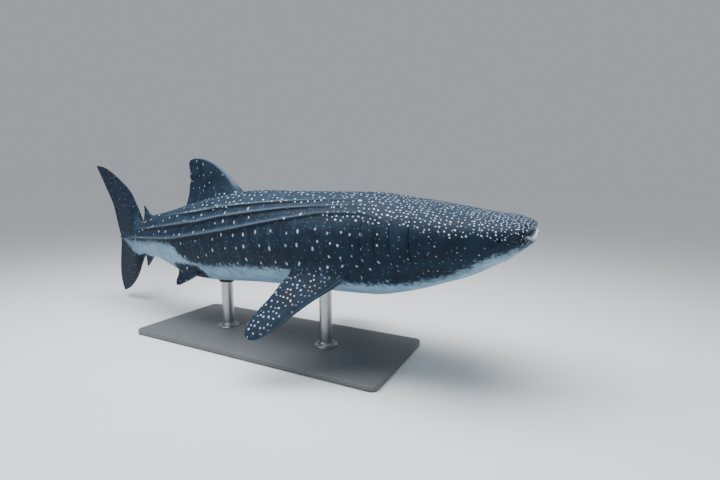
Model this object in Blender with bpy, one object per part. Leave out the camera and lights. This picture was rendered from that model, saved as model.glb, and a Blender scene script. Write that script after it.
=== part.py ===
"""Whale shark, a still life-size model on a plain stand.

The animal is laid out along its own length.  A place on it is (s, y, z): s is the distance behind
the tip of the snout, y is to its left and z is up, all three in hundredths of the total length.
place() bends the tail, pitches the body and gives metres, with the origin under the stand's base.
"""

import math

import bmesh
import bpy
import numpy as np
from mathutils import Vector

# Driving dimensions, in metres and degrees
TOTAL_LENGTH = 7.0
UNIT = TOTAL_LENGTH / 100.0
GAP = 0.0003
NOSE_UP = 4.0
TAIL_SWING = 12.0
SWING_START = 52.1
SWING_END = 79.2
SNOUT_HEIGHT = 1.40
MIDDLE_STATION = 41.0

# Stations of the body: s, back, belly, half width, height of the widest point,
# squareness above and squareness below that height
STATIONS = (
    (4.0, 2.98, -2.95, 7.30, 0.30, 2.60, 2.10),
    (8.0, 3.95, -4.80, 8.00, 0.20, 2.50, 2.20),
    (12.0, 4.95, -6.00, 8.45, 0.10, 2.40, 2.30),
    (16.0, 5.82, -7.05, 8.65, 0.00, 2.30, 2.30),
    (21.0, 6.80, -7.75, 8.55, 0.00, 2.20, 2.30),
    (27.0, 7.25, -7.65, 8.20, 0.10, 2.10, 2.20),
    (35.0, 7.90, -7.20, 7.50, 0.30, 2.05, 2.10),
    (44.0, 8.55, -6.95, 6.50, 0.50, 2.00, 2.00),
    (52.0, 8.05, -7.00, 5.35, 0.60, 1.90, 2.00),
    (60.0, 6.95, -6.45, 4.20, 0.75, 1.85, 2.00),
    (66.0, 6.05, -4.60, 3.30, 0.90, 1.85, 1.95),
    (72.0, 5.40, -3.10, 2.50, 1.00, 1.85, 1.90),
    (79.0, 4.10, -2.35, 1.70, 1.05, 1.85, 1.85),
)

# Columns run down each side from the back (0) over the mouth line (13) to the belly (26)
SIDE = 26
MOUTH_COLUMN = 13
RIDGE_COLUMNS = (4, 7, 11)

# Roots of the fins on the skin: first and last station
DORSAL_FIRST_ROOT = (46.4, 60.6)
DORSAL_SECOND_ROOT = (72.4, 76.8)
ANAL_ROOT = (73.4, 77.8)
PECTORAL_ROOT = (22.3, 31.6)
PELVIC_ROOT = (55.4, 60.8)

# Ridges along the flank: pairs of station and height, from the back down
RIDGE_LINES = (
    ((27.0, 6.05), (36.0, 6.25), (46.0, 6.1), (54.0, 5.55), (60.0, 5.35), (66.0, 5.05), (79.0, 3.7)),
    ((30.0, 5.4), (40.0, 4.95), (48.0, 4.5), (58.0, 3.6), (69.0, 3.0), (79.0, 2.6)),
    ((27.0, 4.3), (36.0, 3.45), (45.0, 2.45), (54.0, 1.65), (62.0, 1.05), (79.0, 1.05)),
)
RIDGE_RISE = (
    ((16.0, 0.0), (28.0, 0.30), (52.0, 0.34), (60.0, 0.16), (66.0, 0.0)),
    ((18.0, 0.0), (30.0, 0.30), (56.0, 0.34), (70.0, 0.22), (79.0, 0.05)),
    ((16.0, 0.0), (27.0, 0.26), (54.0, 0.36), (66.0, 0.62), (74.0, 0.95), (79.0, 1.05)),
)
RIDGE_FOOT = 0.62
RIDGE_FOOT_ANGLE = 7.0
RIDGE_APART = 2.4
RIDGES_FROM = 9.0
RIDGES_IN_FULL = 22.0

# Angles from the back, in degrees, that the columns keep to
TOP_RIDGE_ANGLE = 26.0
FLANK_ANGLE = 93.0
PECTORAL_COLUMN = 17
PECTORAL_ANGLES = (114.0, 114.0)
PELVIC_COLUMN = 22
PELVIC_ANGLES = (148.0, 138.5)
PAIRED_ANGLES_FROM = 34.0
PAIRED_ANGLES_TO = 55.0
MIDLINE_HALF_ROOT = (5.0, 7.0)
PAIRED_HALF_ROOT = (4.0, 6.0)

# Gill slits: stations, depth of the step, and the angles between which they are open
GILL_STATIONS = (13.4, 15.8, 17.9, 19.7, 21.1)
GILL_STEP = 0.24
GILL_SLIT = 0.13
GILL_BOW = 0.35
GILL_BOW_END = 1.2
GILL_ANGLES = (48.0, 112.0)
GILL_FADE_ANGLE = 11.0
GILL_SINK = 0.06
GILL_LEAD = 2.0

# Mouth, at the front of the head
CAP_STATION = 4.0
MOUTH_HALF_WIDTH = 6.15
MOUTH_SETBACK = 0.98
MOUTH_WIDE_POWER = 0.8
MOUTH_FRONT_POWER = 0.55
MOUTH_CORNER_HEIGHT = 0.8
UPPER_LIP_HEIGHT = 1.16
LOWER_LIP_HEIGHT = 0.85
SNOUT_SET = 0.27
JAW_SET = 0.24
UPPER_ARCH = 0.2
LOWER_ARCH = 0.45
LIP_ROLL = (0.0, 0.18, 0.31, 0.34, 0.24, 0.06, -0.05, -0.03)
UPPER_ROLL = 0.12
SIDE_ROLL = 0.45
CAP_RINGS = 10
UPPER_SQUARE = 1.75
CHIN_SQUARE = 1.22
CORNER_SQUARE = 1.5
JAW_STATION = 8.4
MOUTH_DEPTH = 5.0
MOUTH_HOLLOW = 0.75
MOUTH_RISE = 1.5
MOUTH_NARROWS = 2.0
MOUTH_START = 0.1
LIP_EDGE = 0.1
WALL_STEPS = 4
JAW_LINE = ((4.0, -0.95), (8.4, -1.45), (14.0, -1.1), (24.0, -0.25))

# Lengths that the body is parted into
CUT_STATIONS = (12.7, 21.75, 34.2, 45.6, 62.4, 79.0)
RING_STEP = 1.2
TAIL_RING_STEP = 0.8

# Eyes, set just behind the corners of the mouth
EYE_STATION = 2.15
EYE_HEIGHT = 0.36
EYE_RADIUS = 0.029
EYE_SUNK = 0.017
EYE_RINGS = 10
EYE_SIDES = 16
EYE_ROUGHNESS = 0.15

# Small features of the head: station, height, how far the centre is sunk, and radii in metres
NASAL_FLAP = (1.45, 1.25, 0.006, (0.028, 0.018, 0.024))
NOSTRIL = (1.00, 1.75, 0.004, (0.016, 0.014, 0.012))
SPIRACLE = (3.60, 0.25, 0.002, (0.018, 0.020, 0.012))
SMALL_RINGS = 6
SMALL_SIDES = 10

# Stand, in metres
BASE_SIZE = (3.3, 1.3, 0.06)
BASE_CORNER = 0.08
BASE_CORNER_STEPS = 6
ROD_RADIUS = 0.07
ROD_SIDES = 32
ROD_STATIONS = (30.5, 51.5)
ROD_SPARE = 0.12

SKIN_DARK = (0.035, 0.065, 0.115)
SKIN_PALE = (0.42, 0.56, 0.66)
EYE_DARK = (0.006, 0.006, 0.008)
STAND_GREY = (0.16, 0.17, 0.18)
SKIN_ROUGHNESS = 0.55
BASE_ROUGHNESS = 0.45
ROD_ROUGHNESS = 0.35
SHARP_ANGLE = 35.0


UP = (0.0, 0.0, 1.0)
DOWN = (0.0, 0.0, -1.0)


def smooth_curve(keys, x):
    """Value at x of a smooth curve through (position, value) keys that never overshoots."""
    if x <= keys[0][0]:
        return keys[0][1]
    if x >= keys[-1][0]:
        return keys[-1][1]
    xs = [key[0] for key in keys]
    ys = [key[1] for key in keys]
    rises = [(ys[i + 1] - ys[i]) / (xs[i + 1] - xs[i]) for i in range(len(xs) - 1)]
    slopes = [rises[0]]
    for before, after in zip(rises, rises[1:]):
        slopes.append(0.0 if before * after <= 0.0 else 2.0 * before * after / (before + after))
    slopes.append(rises[-1])
    i = max(k for k in range(len(xs) - 1) if xs[k] <= x)
    span = xs[i + 1] - xs[i]
    t = (x - xs[i]) / span
    return (
        ys[i] * (1 + 2 * t) * (1 - t) ** 2
        + ys[i + 1] * t * t * (3 - 2 * t)
        + span * (slopes[i] * t * (1 - t) ** 2 - slopes[i + 1] * t * t * (1 - t))
    )


def ease(x, start, end):
    """0 before start, 1 after end, and a smooth rise between."""
    t = min(1.0, max(0.0, (x - start) / (end - start)))
    return t * t * (3.0 - 2.0 * t)


def mix(a, b, share):
    return a + (b - a) * share


def heading(s):
    return math.radians(TAIL_SWING) * ease(s, SWING_START, SWING_END)


AXIS_STEP = 0.25
AXIS_END = 110.0
AXIS_S = np.arange(0.0, AXIS_END, AXIS_STEP)
AXIS_TURN = np.array([heading(s) for s in AXIS_S])
AXIS_X = -np.concatenate([[0.0], np.cumsum(np.cos(AXIS_TURN[1:]) * AXIS_STEP)])
AXIS_Y = np.concatenate([[0.0], np.cumsum(np.sin(AXIS_TURN[1:]) * AXIS_STEP)])


def place(s, y, z):
    """World position in metres of the place (s, y, z) on the animal."""
    turn = heading(s)
    x = -s if s < 0 else float(np.interp(s, AXIS_S, AXIS_X))
    side = 0.0 if s < 0 else float(np.interp(s, AXIS_S, AXIS_Y))
    x += y * math.sin(turn)
    side += y * math.cos(turn)
    pitch = math.radians(NOSE_UP)
    ahead = x * math.cos(pitch) - z * math.sin(pitch)
    height = z * math.cos(pitch) + x * math.sin(pitch)
    return Vector(
        (
            (ahead + MIDDLE_STATION) * UNIT,
            side * UNIT,
            SNOUT_HEIGHT + height * UNIT,
        )
    )


def section(s):
    """Back, belly, half width, widest height and the two squarenesses at station s."""
    return [smooth_curve([(row[0], row[k]) for row in STATIONS], s) for k in range(1, 7)]


def angle_at_height(s, z):
    """Angle from the back, in degrees, of the skin at height z."""
    back, belly, _, widest, above, below = section(s)
    if z >= widest:
        share = min(1.0, (z - widest) / (back - widest))
        return math.degrees(math.acos(share ** (above / 2)))
    share = min(1.0, (widest - z) / (widest - belly))
    return 180.0 - math.degrees(math.acos(share ** (below / 2)))


def skin_point(s, angle, raised=0.0):
    """(y, z) on the left skin at an angle from the back, raised along the outward direction."""
    back, belly, half, widest, above, below = section(s)
    turn = math.radians(angle)
    square = above if angle <= 90.0 else below
    tall = back - widest if angle <= 90.0 else widest - belly
    sine = max(0.0, math.sin(turn))
    cosine = math.cos(turn)
    y = half * sine ** (2 / square)
    z = widest + math.copysign(tall * abs(cosine) ** (2 / square), cosine)
    out = Vector((sine / half, cosine / tall)).normalized()
    return y + out.x * raised, z + out.y * raised


def ridge_angle(number, s):
    line = RIDGE_LINES[number]
    if s < line[0][0]:
        return angle_at_height(line[0][0], line[0][1])
    return angle_at_height(s, smooth_curve(line, s))


def foil_half(chord_share):
    """Half thickness of a fin at a share of its chord, as a share of the full thickness."""
    c = chord_share
    return 5.0 * (0.2969 * math.sqrt(c) - 0.126 * c - 0.3516 * c**2 + 0.2843 * c**3 - 0.1036 * c**4)


def root_swell(s, root):
    """Shape of a fin's root on the skin: 0 at its ends and 1 where the fin is thickest."""
    share = (s - root[0]) / (root[1] - root[0])
    return 2.0 * foil_half(share) if 0.0 < share < 1.0 else 0.0


def column_angles(s):
    """Angles of the columns from back to belly at station s."""
    mouth = FLANK_ANGLE
    if s < JAW_LINE[-1][0]:
        mouth = angle_at_height(s, smooth_curve(JAW_LINE, s))
    even = [mouth * j / MOUTH_COLUMN for j in range(MOUTH_COLUMN)]
    low_columns = SIDE - MOUTH_COLUMN
    even += [mix(mouth, 180.0, j / low_columns) for j in range(low_columns + 1)]
    foot = min(RIDGE_FOOT_ANGLE, math.degrees(RIDGE_FOOT / section(s)[2]))
    dorsal = max(root_swell(s, DORSAL_FIRST_ROOT), root_swell(s, DORSAL_SECOND_ROOT))
    keys = {0: 0.0, 1: MIDLINE_HALF_ROOT[0] + MIDLINE_HALF_ROOT[1] * dorsal}
    first = max(ridge_angle(0, s), TOP_RIDGE_ANGLE)
    second = max(ridge_angle(1, s), first + RIDGE_APART * foot)
    third = max(ridge_angle(2, s), second + RIDGE_APART * foot)
    for column, crest in zip(RIDGE_COLUMNS, (first, second, third)):
        keys[column - 1] = crest - foot
        keys[column] = crest
        keys[column + 1] = crest + foot
    keys[MOUTH_COLUMN] = max(FLANK_ANGLE, third + RIDGE_APART * foot)
    late = ease(s, PAIRED_ANGLES_FROM, PAIRED_ANGLES_TO)
    for middle, angles, root in (
        (PECTORAL_COLUMN, PECTORAL_ANGLES, PECTORAL_ROOT),
        (PELVIC_COLUMN, PELVIC_ANGLES, PELVIC_ROOT),
    ):
        keys[middle] = mix(angles[0], angles[1], late)
        half_root = PAIRED_HALF_ROOT[0] + PAIRED_HALF_ROOT[1] * root_swell(s, root)
        keys[middle - 1] = keys[middle] - half_root
        keys[middle + 1] = keys[middle] + half_root
    keys[SIDE - 1] = 180.0 - MIDLINE_HALF_ROOT[0] - MIDLINE_HALF_ROOT[1] * root_swell(s, ANAL_ROOT)
    keys[SIDE] = 180.0
    known = sorted(keys)
    follow = [float(np.interp(j, known, [keys[k] for k in known])) for j in range(SIDE + 1)]
    share = ease(s, RIDGES_FROM, RIDGES_IN_FULL)
    return [mix(a, b, share) for a, b in zip(even, follow)]


def gill_relief(s, angle):
    """How far the gill flaps stand out: each rises to its free rear edge and steps down."""
    top, low = GILL_ANGLES
    fade = GILL_FADE_ANGLE
    window = ease(angle, top - fade, top + fade) * (1.0 - ease(angle, low - fade, low + fade))
    before = GILL_STATIONS[0] - GILL_LEAD
    for slit in GILL_STATIONS:
        if s <= slit:
            rise = (s - before) / (slit - before)
            return GILL_STEP * window * max(0.0, rise) ** 1.5
        if s <= slit + GILL_SLIT:
            return mix(GILL_STEP, -GILL_SINK, (s - slit) / GILL_SLIT) * window
        before = slit
    return -GILL_SINK * window * (1.0 - ease(s, before, before + GILL_LEAD))


def gill_shift(s, angle):
    """Backward bow of the rings over the gills, so that the slits are curved."""
    share = ease(s, CUT_STATIONS[0], GILL_STATIONS[0])
    share *= 1.0 - ease(s, GILL_STATIONS[-1] + GILL_SLIT, CUT_STATIONS[1])
    middle = 0.5 * (GILL_ANGLES[0] + GILL_ANGLES[1])
    across = 2.0 * abs(angle - middle) / (GILL_ANGLES[1] - GILL_ANGLES[0])
    return -GILL_BOW * share * min(across, GILL_BOW_END) ** 2


def side_line(s):
    """Places down the left side at station s, one for each column."""
    points = []
    for column, angle in enumerate(column_angles(s)):
        raised = 0.0
        for crest, rise in zip(RIDGE_COLUMNS, RIDGE_RISE):
            if column == crest:
                raised += smooth_curve(rise, s)
        raised += gill_relief(s, angle)
        y, z = skin_point(s, angle, raised)
        if column in (0, SIDE):
            y = 0.0
        points.append((s + gill_shift(s, angle), y, z))
    return points


def lip(share, upper):
    """Place on a lip: share 0 is the middle of the snout and 1 the left corner."""
    turn = share * math.pi / 2
    y = MOUTH_HALF_WIDTH * math.sin(turn) ** MOUTH_WIDE_POWER
    s = MOUTH_SETBACK * (1.0 - math.cos(turn) ** MOUTH_FRONT_POWER)
    middle = UPPER_LIP_HEIGHT if upper else LOWER_LIP_HEIGHT
    arch = max(0.0, math.sin(turn * 2.0)) ** 1.5 * (UPPER_ARCH if upper else -LOWER_ARCH)
    z = mix(middle, MOUTH_CORNER_HEIGHT, share**5) + arch
    lead = SNOUT_SET if upper else JAW_SET
    return s + mix(lead, JAW_SET, share**2), y, z


def cap_line(ring):
    """Places down the left side of the snout, ring 0 being the edge of the lips."""
    share = (ring / CAP_RINGS) ** 1.25
    line = []
    end = side_line(CAP_STATION)
    for column in range(SIDE + 1):
        upper = column <= MOUTH_COLUMN
        along = column / MOUTH_COLUMN if upper else (SIDE - column) / (SIDE - MOUTH_COLUMN)
        start = lip(along, upper)
        square = mix(UPPER_SQUARE if upper else CHIN_SQUARE, CORNER_SQUARE, along)
        run = 1.0 - math.cos(share * math.pi / 2) ** (2 / square)
        rise = math.sin(share * math.pi / 2) ** (2 / square)
        roll = LIP_ROLL[ring] * (UPPER_ROLL if upper else 1.0) if ring < len(LIP_ROLL) else 0.0
        line.append(
            (
                mix(start[0], end[column][0], run) - roll * (1.0 - along**6),
                mix(start[1], end[column][1], rise) + SIDE_ROLL * roll * along**2 * (1.0 - along**6),
                mix(start[2], end[column][2], rise),
            )
        )
    return line


def ring_stations():
    """Stations of the rings behind the snout, close together at the gills and at each cut."""
    marks = [CAP_STATION, JAW_STATION, *CUT_STATIONS, *PECTORAL_ROOT, *DORSAL_FIRST_ROOT, *PELVIC_ROOT]
    marks += [*DORSAL_SECOND_ROOT, *ANAL_ROOT]
    for slit in GILL_STATIONS:
        marks += [slit, slit + GILL_SLIT]
    marks = sorted(marks)
    stations = []
    for start, end in zip(marks, marks[1:]):
        step = TAIL_RING_STEP if start >= DORSAL_SECOND_ROOT[0] else RING_STEP
        count = max(1, round((end - start) / step))
        stations += [mix(start, end, k / count) for k in range(count)]
    return stations + [marks[-1]]


def both_sides(line):
    """A closed loop of places from the left line: down the left, then up the right."""
    return list(line) + [(s, -y, z) for s, y, z in reversed(line[1:-1])]


class Shell:
    """Points and faces of one closed body, gathered piece by piece."""

    def __init__(self):
        self.points = []
        self.faces = []

    def row(self, places, shift=Vector((0.0, 0.0, 0.0))):
        first = len(self.points)
        self.points += [place(*spot) + shift for spot in places]
        return list(range(first, len(self.points)))

    def strip(self, a, b, closed=False):
        """Faces between two rows of the same length."""
        count = len(a)
        for k in range(count if closed else count - 1):
            n = (k + 1) % count
            self.face(a[k], a[n], b[n], b[k])

    def face(self, *corners):
        kept = [c for k, c in enumerate(corners) if c != corners[k - 1]]
        if len(kept) > 3:
            a, b, c, d = kept
            self.faces += [(a, b, c), (a, c, d)]
        elif len(kept) == 3:
            self.faces.append(tuple(kept))

    def ladder(self, loop):
        """Flat end over a loop that runs down the left side and up the right."""
        count = len(loop)
        half = count // 2
        for k in range(half):
            left, next_left = loop[k], loop[k + 1]
            right = loop[(count - k) % count]
            next_right = loop[count - k - 1]
            self.face(left, next_left, next_right, right)

    def build(self, name, colour):
        mesh = bpy.data.meshes.new(name)
        mesh.from_pydata(self.points, [], self.faces)
        work = bmesh.new()
        work.from_mesh(mesh)
        bmesh.ops.recalc_face_normals(work, faces=work.faces[:])
        if work.calc_volume(signed=True) < 0.0:
            bmesh.ops.reverse_faces(work, faces=work.faces[:])
        work.to_mesh(mesh)
        work.free()
        thing = bpy.data.objects.new(name, mesh)
        bpy.context.scene.collection.objects.link(thing)
        finish(thing, colour, SKIN_ROUGHNESS)
        return thing


def finish(thing, colour, roughness):
    """Give a piece its own material and smooth shading with crisp edges."""
    material = bpy.data.materials.new(thing.name + "_finish")
    material.use_nodes = True
    shader = material.node_tree.nodes["Principled BSDF"]
    shader.inputs["Base Color"].default_value = (*colour, 1.0)
    shader.inputs["Roughness"].default_value = roughness
    thing.data.materials.clear()
    thing.data.materials.append(material)
    thing.data.shade_smooth()
    thing.data.set_sharp_from_angle(angle=math.radians(SHARP_ANGLE))


def back_shift(s):
    """Step of one gap towards the tail at station s."""
    return (place(s + 1.0, 0.0, 0.0) - place(s, 0.0, 0.0)).normalized() * GAP


def mouth_rows(lines, palate):
    """Rows across the mouth, from the left corner line to the right, one for each ring.

    The palate bulges up and the floor of the mouth bulges down.  Behind the hollow both lie in the
    same sloping surface, where the jaw is parted from the head.
    """
    rows = []
    shares = [1.0 - 2.0 * k / SIDE for k in range(SIDE + 1)]
    last = len(lines) - 1
    for number, line in enumerate(lines):
        corner_s, corner_y, corner_z = line[MOUTH_COLUMN]
        middle_s = mix(MOUTH_START, lines[-1][MOUTH_COLUMN][0], (number / last) ** 1.15)
        row = []
        for share in shares:
            lip_s, lip_y, lip_z = lip(abs(share), palate)
            if number == 0:
                row.append((lip_s, math.copysign(lip_y, share), lip_z))
                continue
            bow = 1.0 - abs(share) ** 3
            s = mix(corner_s, min(middle_s, corner_s), bow)
            deep = (1.0 - ease(s, MOUTH_NARROWS, MOUTH_DEPTH)) * (1.0 - abs(share) ** 2.5)
            hollow = MOUTH_HOLLOW * deep
            level = mix(MOUTH_CORNER_HEIGHT, corner_z, ease(s, MOUTH_SETBACK, CAP_STATION))
            inside = level + (hollow if palate else -hollow)
            z = mix(lip_z, inside, ease(s - lip_s, -LIP_EDGE, MOUTH_RISE))
            row.append((s, share * corner_y, corner_z if abs(share) == 1.0 else z))
        rows.append(row)
    return rows


def build_head(lines, jaw_ring, end_ring):
    """The head above and behind the lower jaw."""
    shell = Shell()
    rows = mouth_rows(lines[: jaw_ring + 1], palate=True)
    upper = []
    lower = []
    for number in range(jaw_ring + 1):
        left = lines[number][: MOUTH_COLUMN + 1]
        across = [(s, -y, z) for s, y, z in reversed(left[1:])] + left
        outer = shell.row(across)
        upper.append(outer)
        inner = outer[::-1] if number == 0 else shell.row(rows[number][1:-1])
        lower.append(inner if number == 0 else [outer[-1]] + inner + [outer[0]])
    for a, b in zip(upper, upper[1:]):
        shell.strip(a, b)
    for a, b in zip(lower, lower[1:]):
        shell.strip(a, b)
    wall_end = lines[jaw_ring]
    under = wall_end[MOUTH_COLUMN:] + [(s, -y, z) for s, y, z in reversed(wall_end[MOUTH_COLUMN:-1])]
    previous = lower[-1]
    for step in range(1, WALL_STEPS + 1):
        share = step / WALL_STEPS
        places = [
            tuple(mix(a, b, share) for a, b in zip(top, low))
            for top, low in zip(rows[-1][1:-1], under[1:-1])
        ]
        current = [upper[-1][-1]] + shell.row(places) + [upper[-1][0]]
        shell.strip(previous, current)
        previous = current
    loop = previous[:-1] + upper[-1][:-1]
    full = loop[-MOUTH_COLUMN:] + loop[:-MOUTH_COLUMN]
    for number in range(jaw_ring + 1, end_ring + 1):
        ring = shell.row(both_sides(lines[number]))
        shell.strip(full, ring, closed=True)
        full = ring
    shell.ladder(full)
    return shell.build("head", SKIN_DARK)


def build_jaw(lines, jaw_ring):
    """The lower jaw, one gap clear of the head above it and behind it."""
    shell = Shell()
    rows = mouth_rows(lines[: jaw_ring + 1], palate=False)
    down = Vector((0.0, 0.0, -GAP))
    ahead = -back_shift(lines[jaw_ring][0][0])
    outers = []
    inners = []
    for number in range(jaw_ring + 1):
        line = lines[number][MOUTH_COLUMN:]
        across = list(line) + [(s, -y, z) for s, y, z in reversed(line[:-1])]
        if number == 0:
            across = [
                (s, math.copysign(y, share), z)
                for share in [1.0 - 2.0 * k / SIDE for k in range(SIDE + 1)]
                for s, y, z in [lip(abs(share), False)]
            ]
        shift = down + ahead if number == jaw_ring else down
        outer = shell.row(across, shift)
        outers.append(outer)
        if number == 0:
            inners.append(outer)
        else:
            inner = shell.row(rows[number][1:-1], shift)
            inners.append([outer[0]] + inner + [outer[-1]])
    for a, b in zip(outers, outers[1:]):
        shell.strip(a, b)
    for a, b in zip(inners, inners[1:]):
        shell.strip(a, b)
    wall_end = lines[jaw_ring]
    under = wall_end[MOUTH_COLUMN:] + [(s, -y, z) for s, y, z in reversed(wall_end[MOUTH_COLUMN:-1])]
    previous = inners[-1]
    for step in range(1, WALL_STEPS):
        share = step / WALL_STEPS
        places = [
            tuple(mix(a, b, share) for a, b in zip(top, low))
            for top, low in zip(rows[-1][1:-1], under[1:-1])
        ]
        current = [outers[-1][0]] + shell.row(places, down + ahead) + [outers[-1][-1]]
        shell.strip(previous, current)
        previous = current
    shell.strip(previous, outers[-1])
    shell.build("lower_jaw", SKIN_PALE)


def build_length(name, lines, first, last):
    """One length of the body between two rings."""
    shell = Shell()
    previous = None
    for number in range(first, last + 1):
        shift = back_shift(lines[number][0][0]) if number == first else Vector((0.0, 0.0, 0.0))
        ring = shell.row(both_sides(lines[number]), shift)
        if previous is None:
            shell.ladder(ring)
        else:
            shell.strip(previous, ring, closed=True)
        previous = ring
    shell.ladder(previous)
    return shell.build(name, SKIN_DARK)


# Fins.  Each is given by its leading and trailing edge at a few stations from root to tip, in the
# plane of the fin: the first number is along the body and the second is away from it.
FIN_EDGE = 0.075
FIN_FRONT = 0.045
FIN_REAR = 0.975
ROOT_THICKER = 0.35
ROOT_THICKER_ROWS = 1.8
DORSAL_FIRST = (
    ((47.0, 9.45), (60.2, 8.05)),
    ((48.3, 10.75), (59.5, 9.3)),
    ((49.9, 12.3), (59.2, 11.0)),
    ((51.7, 13.65), (58.75, 12.7)),
    ((53.7, 14.65), (58.85, 13.95)),
    ((55.5, 15.1), (58.75, 14.75)),
    ((56.9, 15.27), (58.2, 15.1)),
)
DORSAL_FIRST_THICK = 0.105
DORSAL_FIRST_SECTIONS = 10
DORSAL_SECOND = (
    ((73.1, 5.55), (76.9, 4.95)),
    ((74.2, 6.35), (76.35, 5.85)),
    ((75.1, 7.1), (76.15, 6.75)),
    ((75.75, 7.55), (76.12, 7.4)),
)
ANAL_FIN = (
    ((74.1, -3.25), (78.2, -2.75)),
    ((75.2, -4.05), (77.75, -3.6)),
    ((76.4, -4.9), (77.62, -4.55)),
    ((77.2, -5.35), (77.65, -5.2)),
)
SMALL_FIN_THICK = 0.13
SMALL_FIN_SECTIONS = 8
PECTORAL = (
    ((0.6, 0.8), (9.9, 0.6)),
    ((1.9, 2.3), (10.6, 1.7)),
    ((3.7, 3.8), (11.0, 3.3)),
    ((5.9, 6.1), (11.9, 5.3)),
    ((8.0, 8.6), (12.8, 7.3)),
    ((9.8, 10.2), (13.05, 8.9)),
    ((11.2, 10.8), (12.75, 10.1)),
)
PECTORAL_ORIGIN = (22.2, 7.4, -3.8)
PECTORAL_DROOP = 45.0
PECTORAL_THICK = 0.115
PECTORAL_SECTIONS = 10
PELVIC = (
    ((0.6, 0.45), (5.3, 0.32)),
    ((1.6, 1.05), (5.35, 0.85)),
    ((2.8, 1.7), (5.05, 1.55)),
    ((3.8, 2.2), (4.75, 2.1)),
)
PELVIC_ORIGIN = (55.4, 3.1, -5.6)
PELVIC_DROOP = 55.0
PELVIC_THICK = 0.1
PELVIC_SECTIONS = 6


def spread(stations, count):
    """Leading and trailing points at count even steps along a fin's stations."""
    keys = range(len(stations))
    found = []
    for step in range(count):
        at = step * (len(stations) - 1) / (count - 1)
        edge = []
        for end in (0, 1):
            along = smooth_curve([(k, stations[k][end][0]) for k in keys], at)
            away = smooth_curve([(k, stations[k][end][1]) for k in keys], at)
            edge.append((along, away))
        found.append(edge)
    return found


def foil_loop(lead, trail, thick, across, steps):
    """Loop round one fin section: front edge, one face, rear edge, other face."""
    lead = Vector(lead)
    trail = Vector(trail)
    across = Vector(across)
    shares = [mix(FIN_FRONT, FIN_REAR, (k / steps) ** 1.2) for k in range(steps + 1)]
    faces = []
    for side in (-1.0, 1.0):
        face = []
        for share in shares:
            half = max(0.5 * FIN_EDGE, thick * foil_half(share))
            face.append(tuple(lead.lerp(trail, share) + across * (side * half)))
        faces.append(face)
    return [faces[0][0], tuple(lead), *faces[1], tuple(trail), *reversed(faces[0][1:])]


def build_fin(name, lines, rings, columns, sections, out):
    """A fin whose root lies on the skin between two rings and two columns.

    rings are numbers in lines, columns are signed: negative on the right side.  sections are the
    loops of places from root to tip, and out is the way that the root is held clear of the skin.
    """
    shell = Shell()
    clear = Vector(out).normalized() * GAP

    def spot(ring, column):
        s, y, z = lines[ring][abs(column)]
        return (s, math.copysign(y, column) if column else y, z)

    first, last = rings
    patch = []
    for ring in range(first, last + 1):
        patch.append(shell.row([spot(ring, column) for column in columns], clear))
    for a, b in zip(patch, patch[1:]):
        shell.strip(a, b)
    previous = patch[0][:-1] + [row[-1] for row in patch[:-1]]
    previous += patch[-1][:0:-1] + [row[0] for row in patch[:0:-1]]
    for section_loop in sections:
        current = shell.row(section_loop)
        shell.strip(previous, current, closed=True)
        previous = current
    steps = last - first
    left = previous[2 : 3 + steps]
    right = [previous[0]] + previous[: 3 + steps : -1]
    shell.face(previous[0], previous[1], previous[2])
    for k in range(steps):
        shell.face(right[k], left[k], left[k + 1], right[k + 1])
    shell.face(left[-1], previous[3 + steps], right[-1])
    shell.build(name, SKIN_DARK)


def root_swelling(number):
    """Share by which a section near the root is thicker."""
    return 1.0 + ROOT_THICKER * (1.0 - ease(number, 0.0, ROOT_THICKER_ROWS))


def upright_sections(stations, steps, thick, count, across=1.0):
    """Sections of a fin that stands in the middle plane."""
    loops = []
    for number, (lead, trail) in enumerate(spread(stations, count)):
        chord = abs(trail[0] - lead[0])
        swell = root_swelling(number)
        loops.append(
            foil_loop(
                (lead[0], 0.0, lead[1]),
                (trail[0], 0.0, trail[1]),
                thick * chord * swell,
                (0.0, across, 0.0),
                steps,
            )
        )
    return loops


def paired_sections(stations, steps, origin, droop, side, thick, count):
    """Sections of a paired fin that leaves the flank outwards and down."""
    loops = []
    lean = math.radians(droop)
    across = (0.0, -math.sin(lean), -side * math.cos(lean))
    for number, (lead, trail) in enumerate(spread(stations, count)):
        places = []
        for along, away in (lead, trail):
            out = origin[1] + away * math.cos(lean)
            places.append((origin[0] + along, side * out, origin[2] - away * math.sin(lean)))
        full = thick * math.dist(lead, trail) * root_swelling(number)
        loops.append(foil_loop(places[0], places[1], full, across, steps))
    return loops


# Tail fin, in the plane of the tail: leading edges and trailing edges as (s, z) keys
CAUDAL_UPPER_LEAD = (
    (79.0, 4.1),
    (79.2, 7.2),
    (81.5, 10.9),
    (85.3, 13.2),
    (90.0, 15.7),
    (95.2, 17.75),
    (99.4, 18.4),
)
CAUDAL_UPPER_TRAIL = ((89.9, 1.15), (91.2, 4.6), (91.9, 8.0), (94.8, 11.8), (98.6, 16.7), (100.0, 18.3))
CAUDAL_LOWER_LEAD = ((79.0, -2.35), (80.3, -5.7), (83.1, -8.5), (86.9, -10.9), (90.4, -11.9))
CAUDAL_LOWER_TRAIL = ((89.9, 1.15), (90.3, -1.0), (91.9, -4.9), (92.7, -8.9), (91.5, -11.9))
CAUDAL_ROWS = 12
FORK = (89.9, 1.15)
CAUDAL_THICK = 0.95
CAUDAL_RIM = 3.2
CAUDAL_REAR_THICK = 0.35
CAUDAL_EDGE_START = 0.2


def polyline(keys, share):
    """Point at a share of a smooth line through (s, z) keys."""
    at = share * (len(keys) - 1)
    along = smooth_curve([(k, key[0]) for k, key in enumerate(keys)], at)
    away = smooth_curve([(k, key[1]) for k, key in enumerate(keys)], at)
    return along, away


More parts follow.
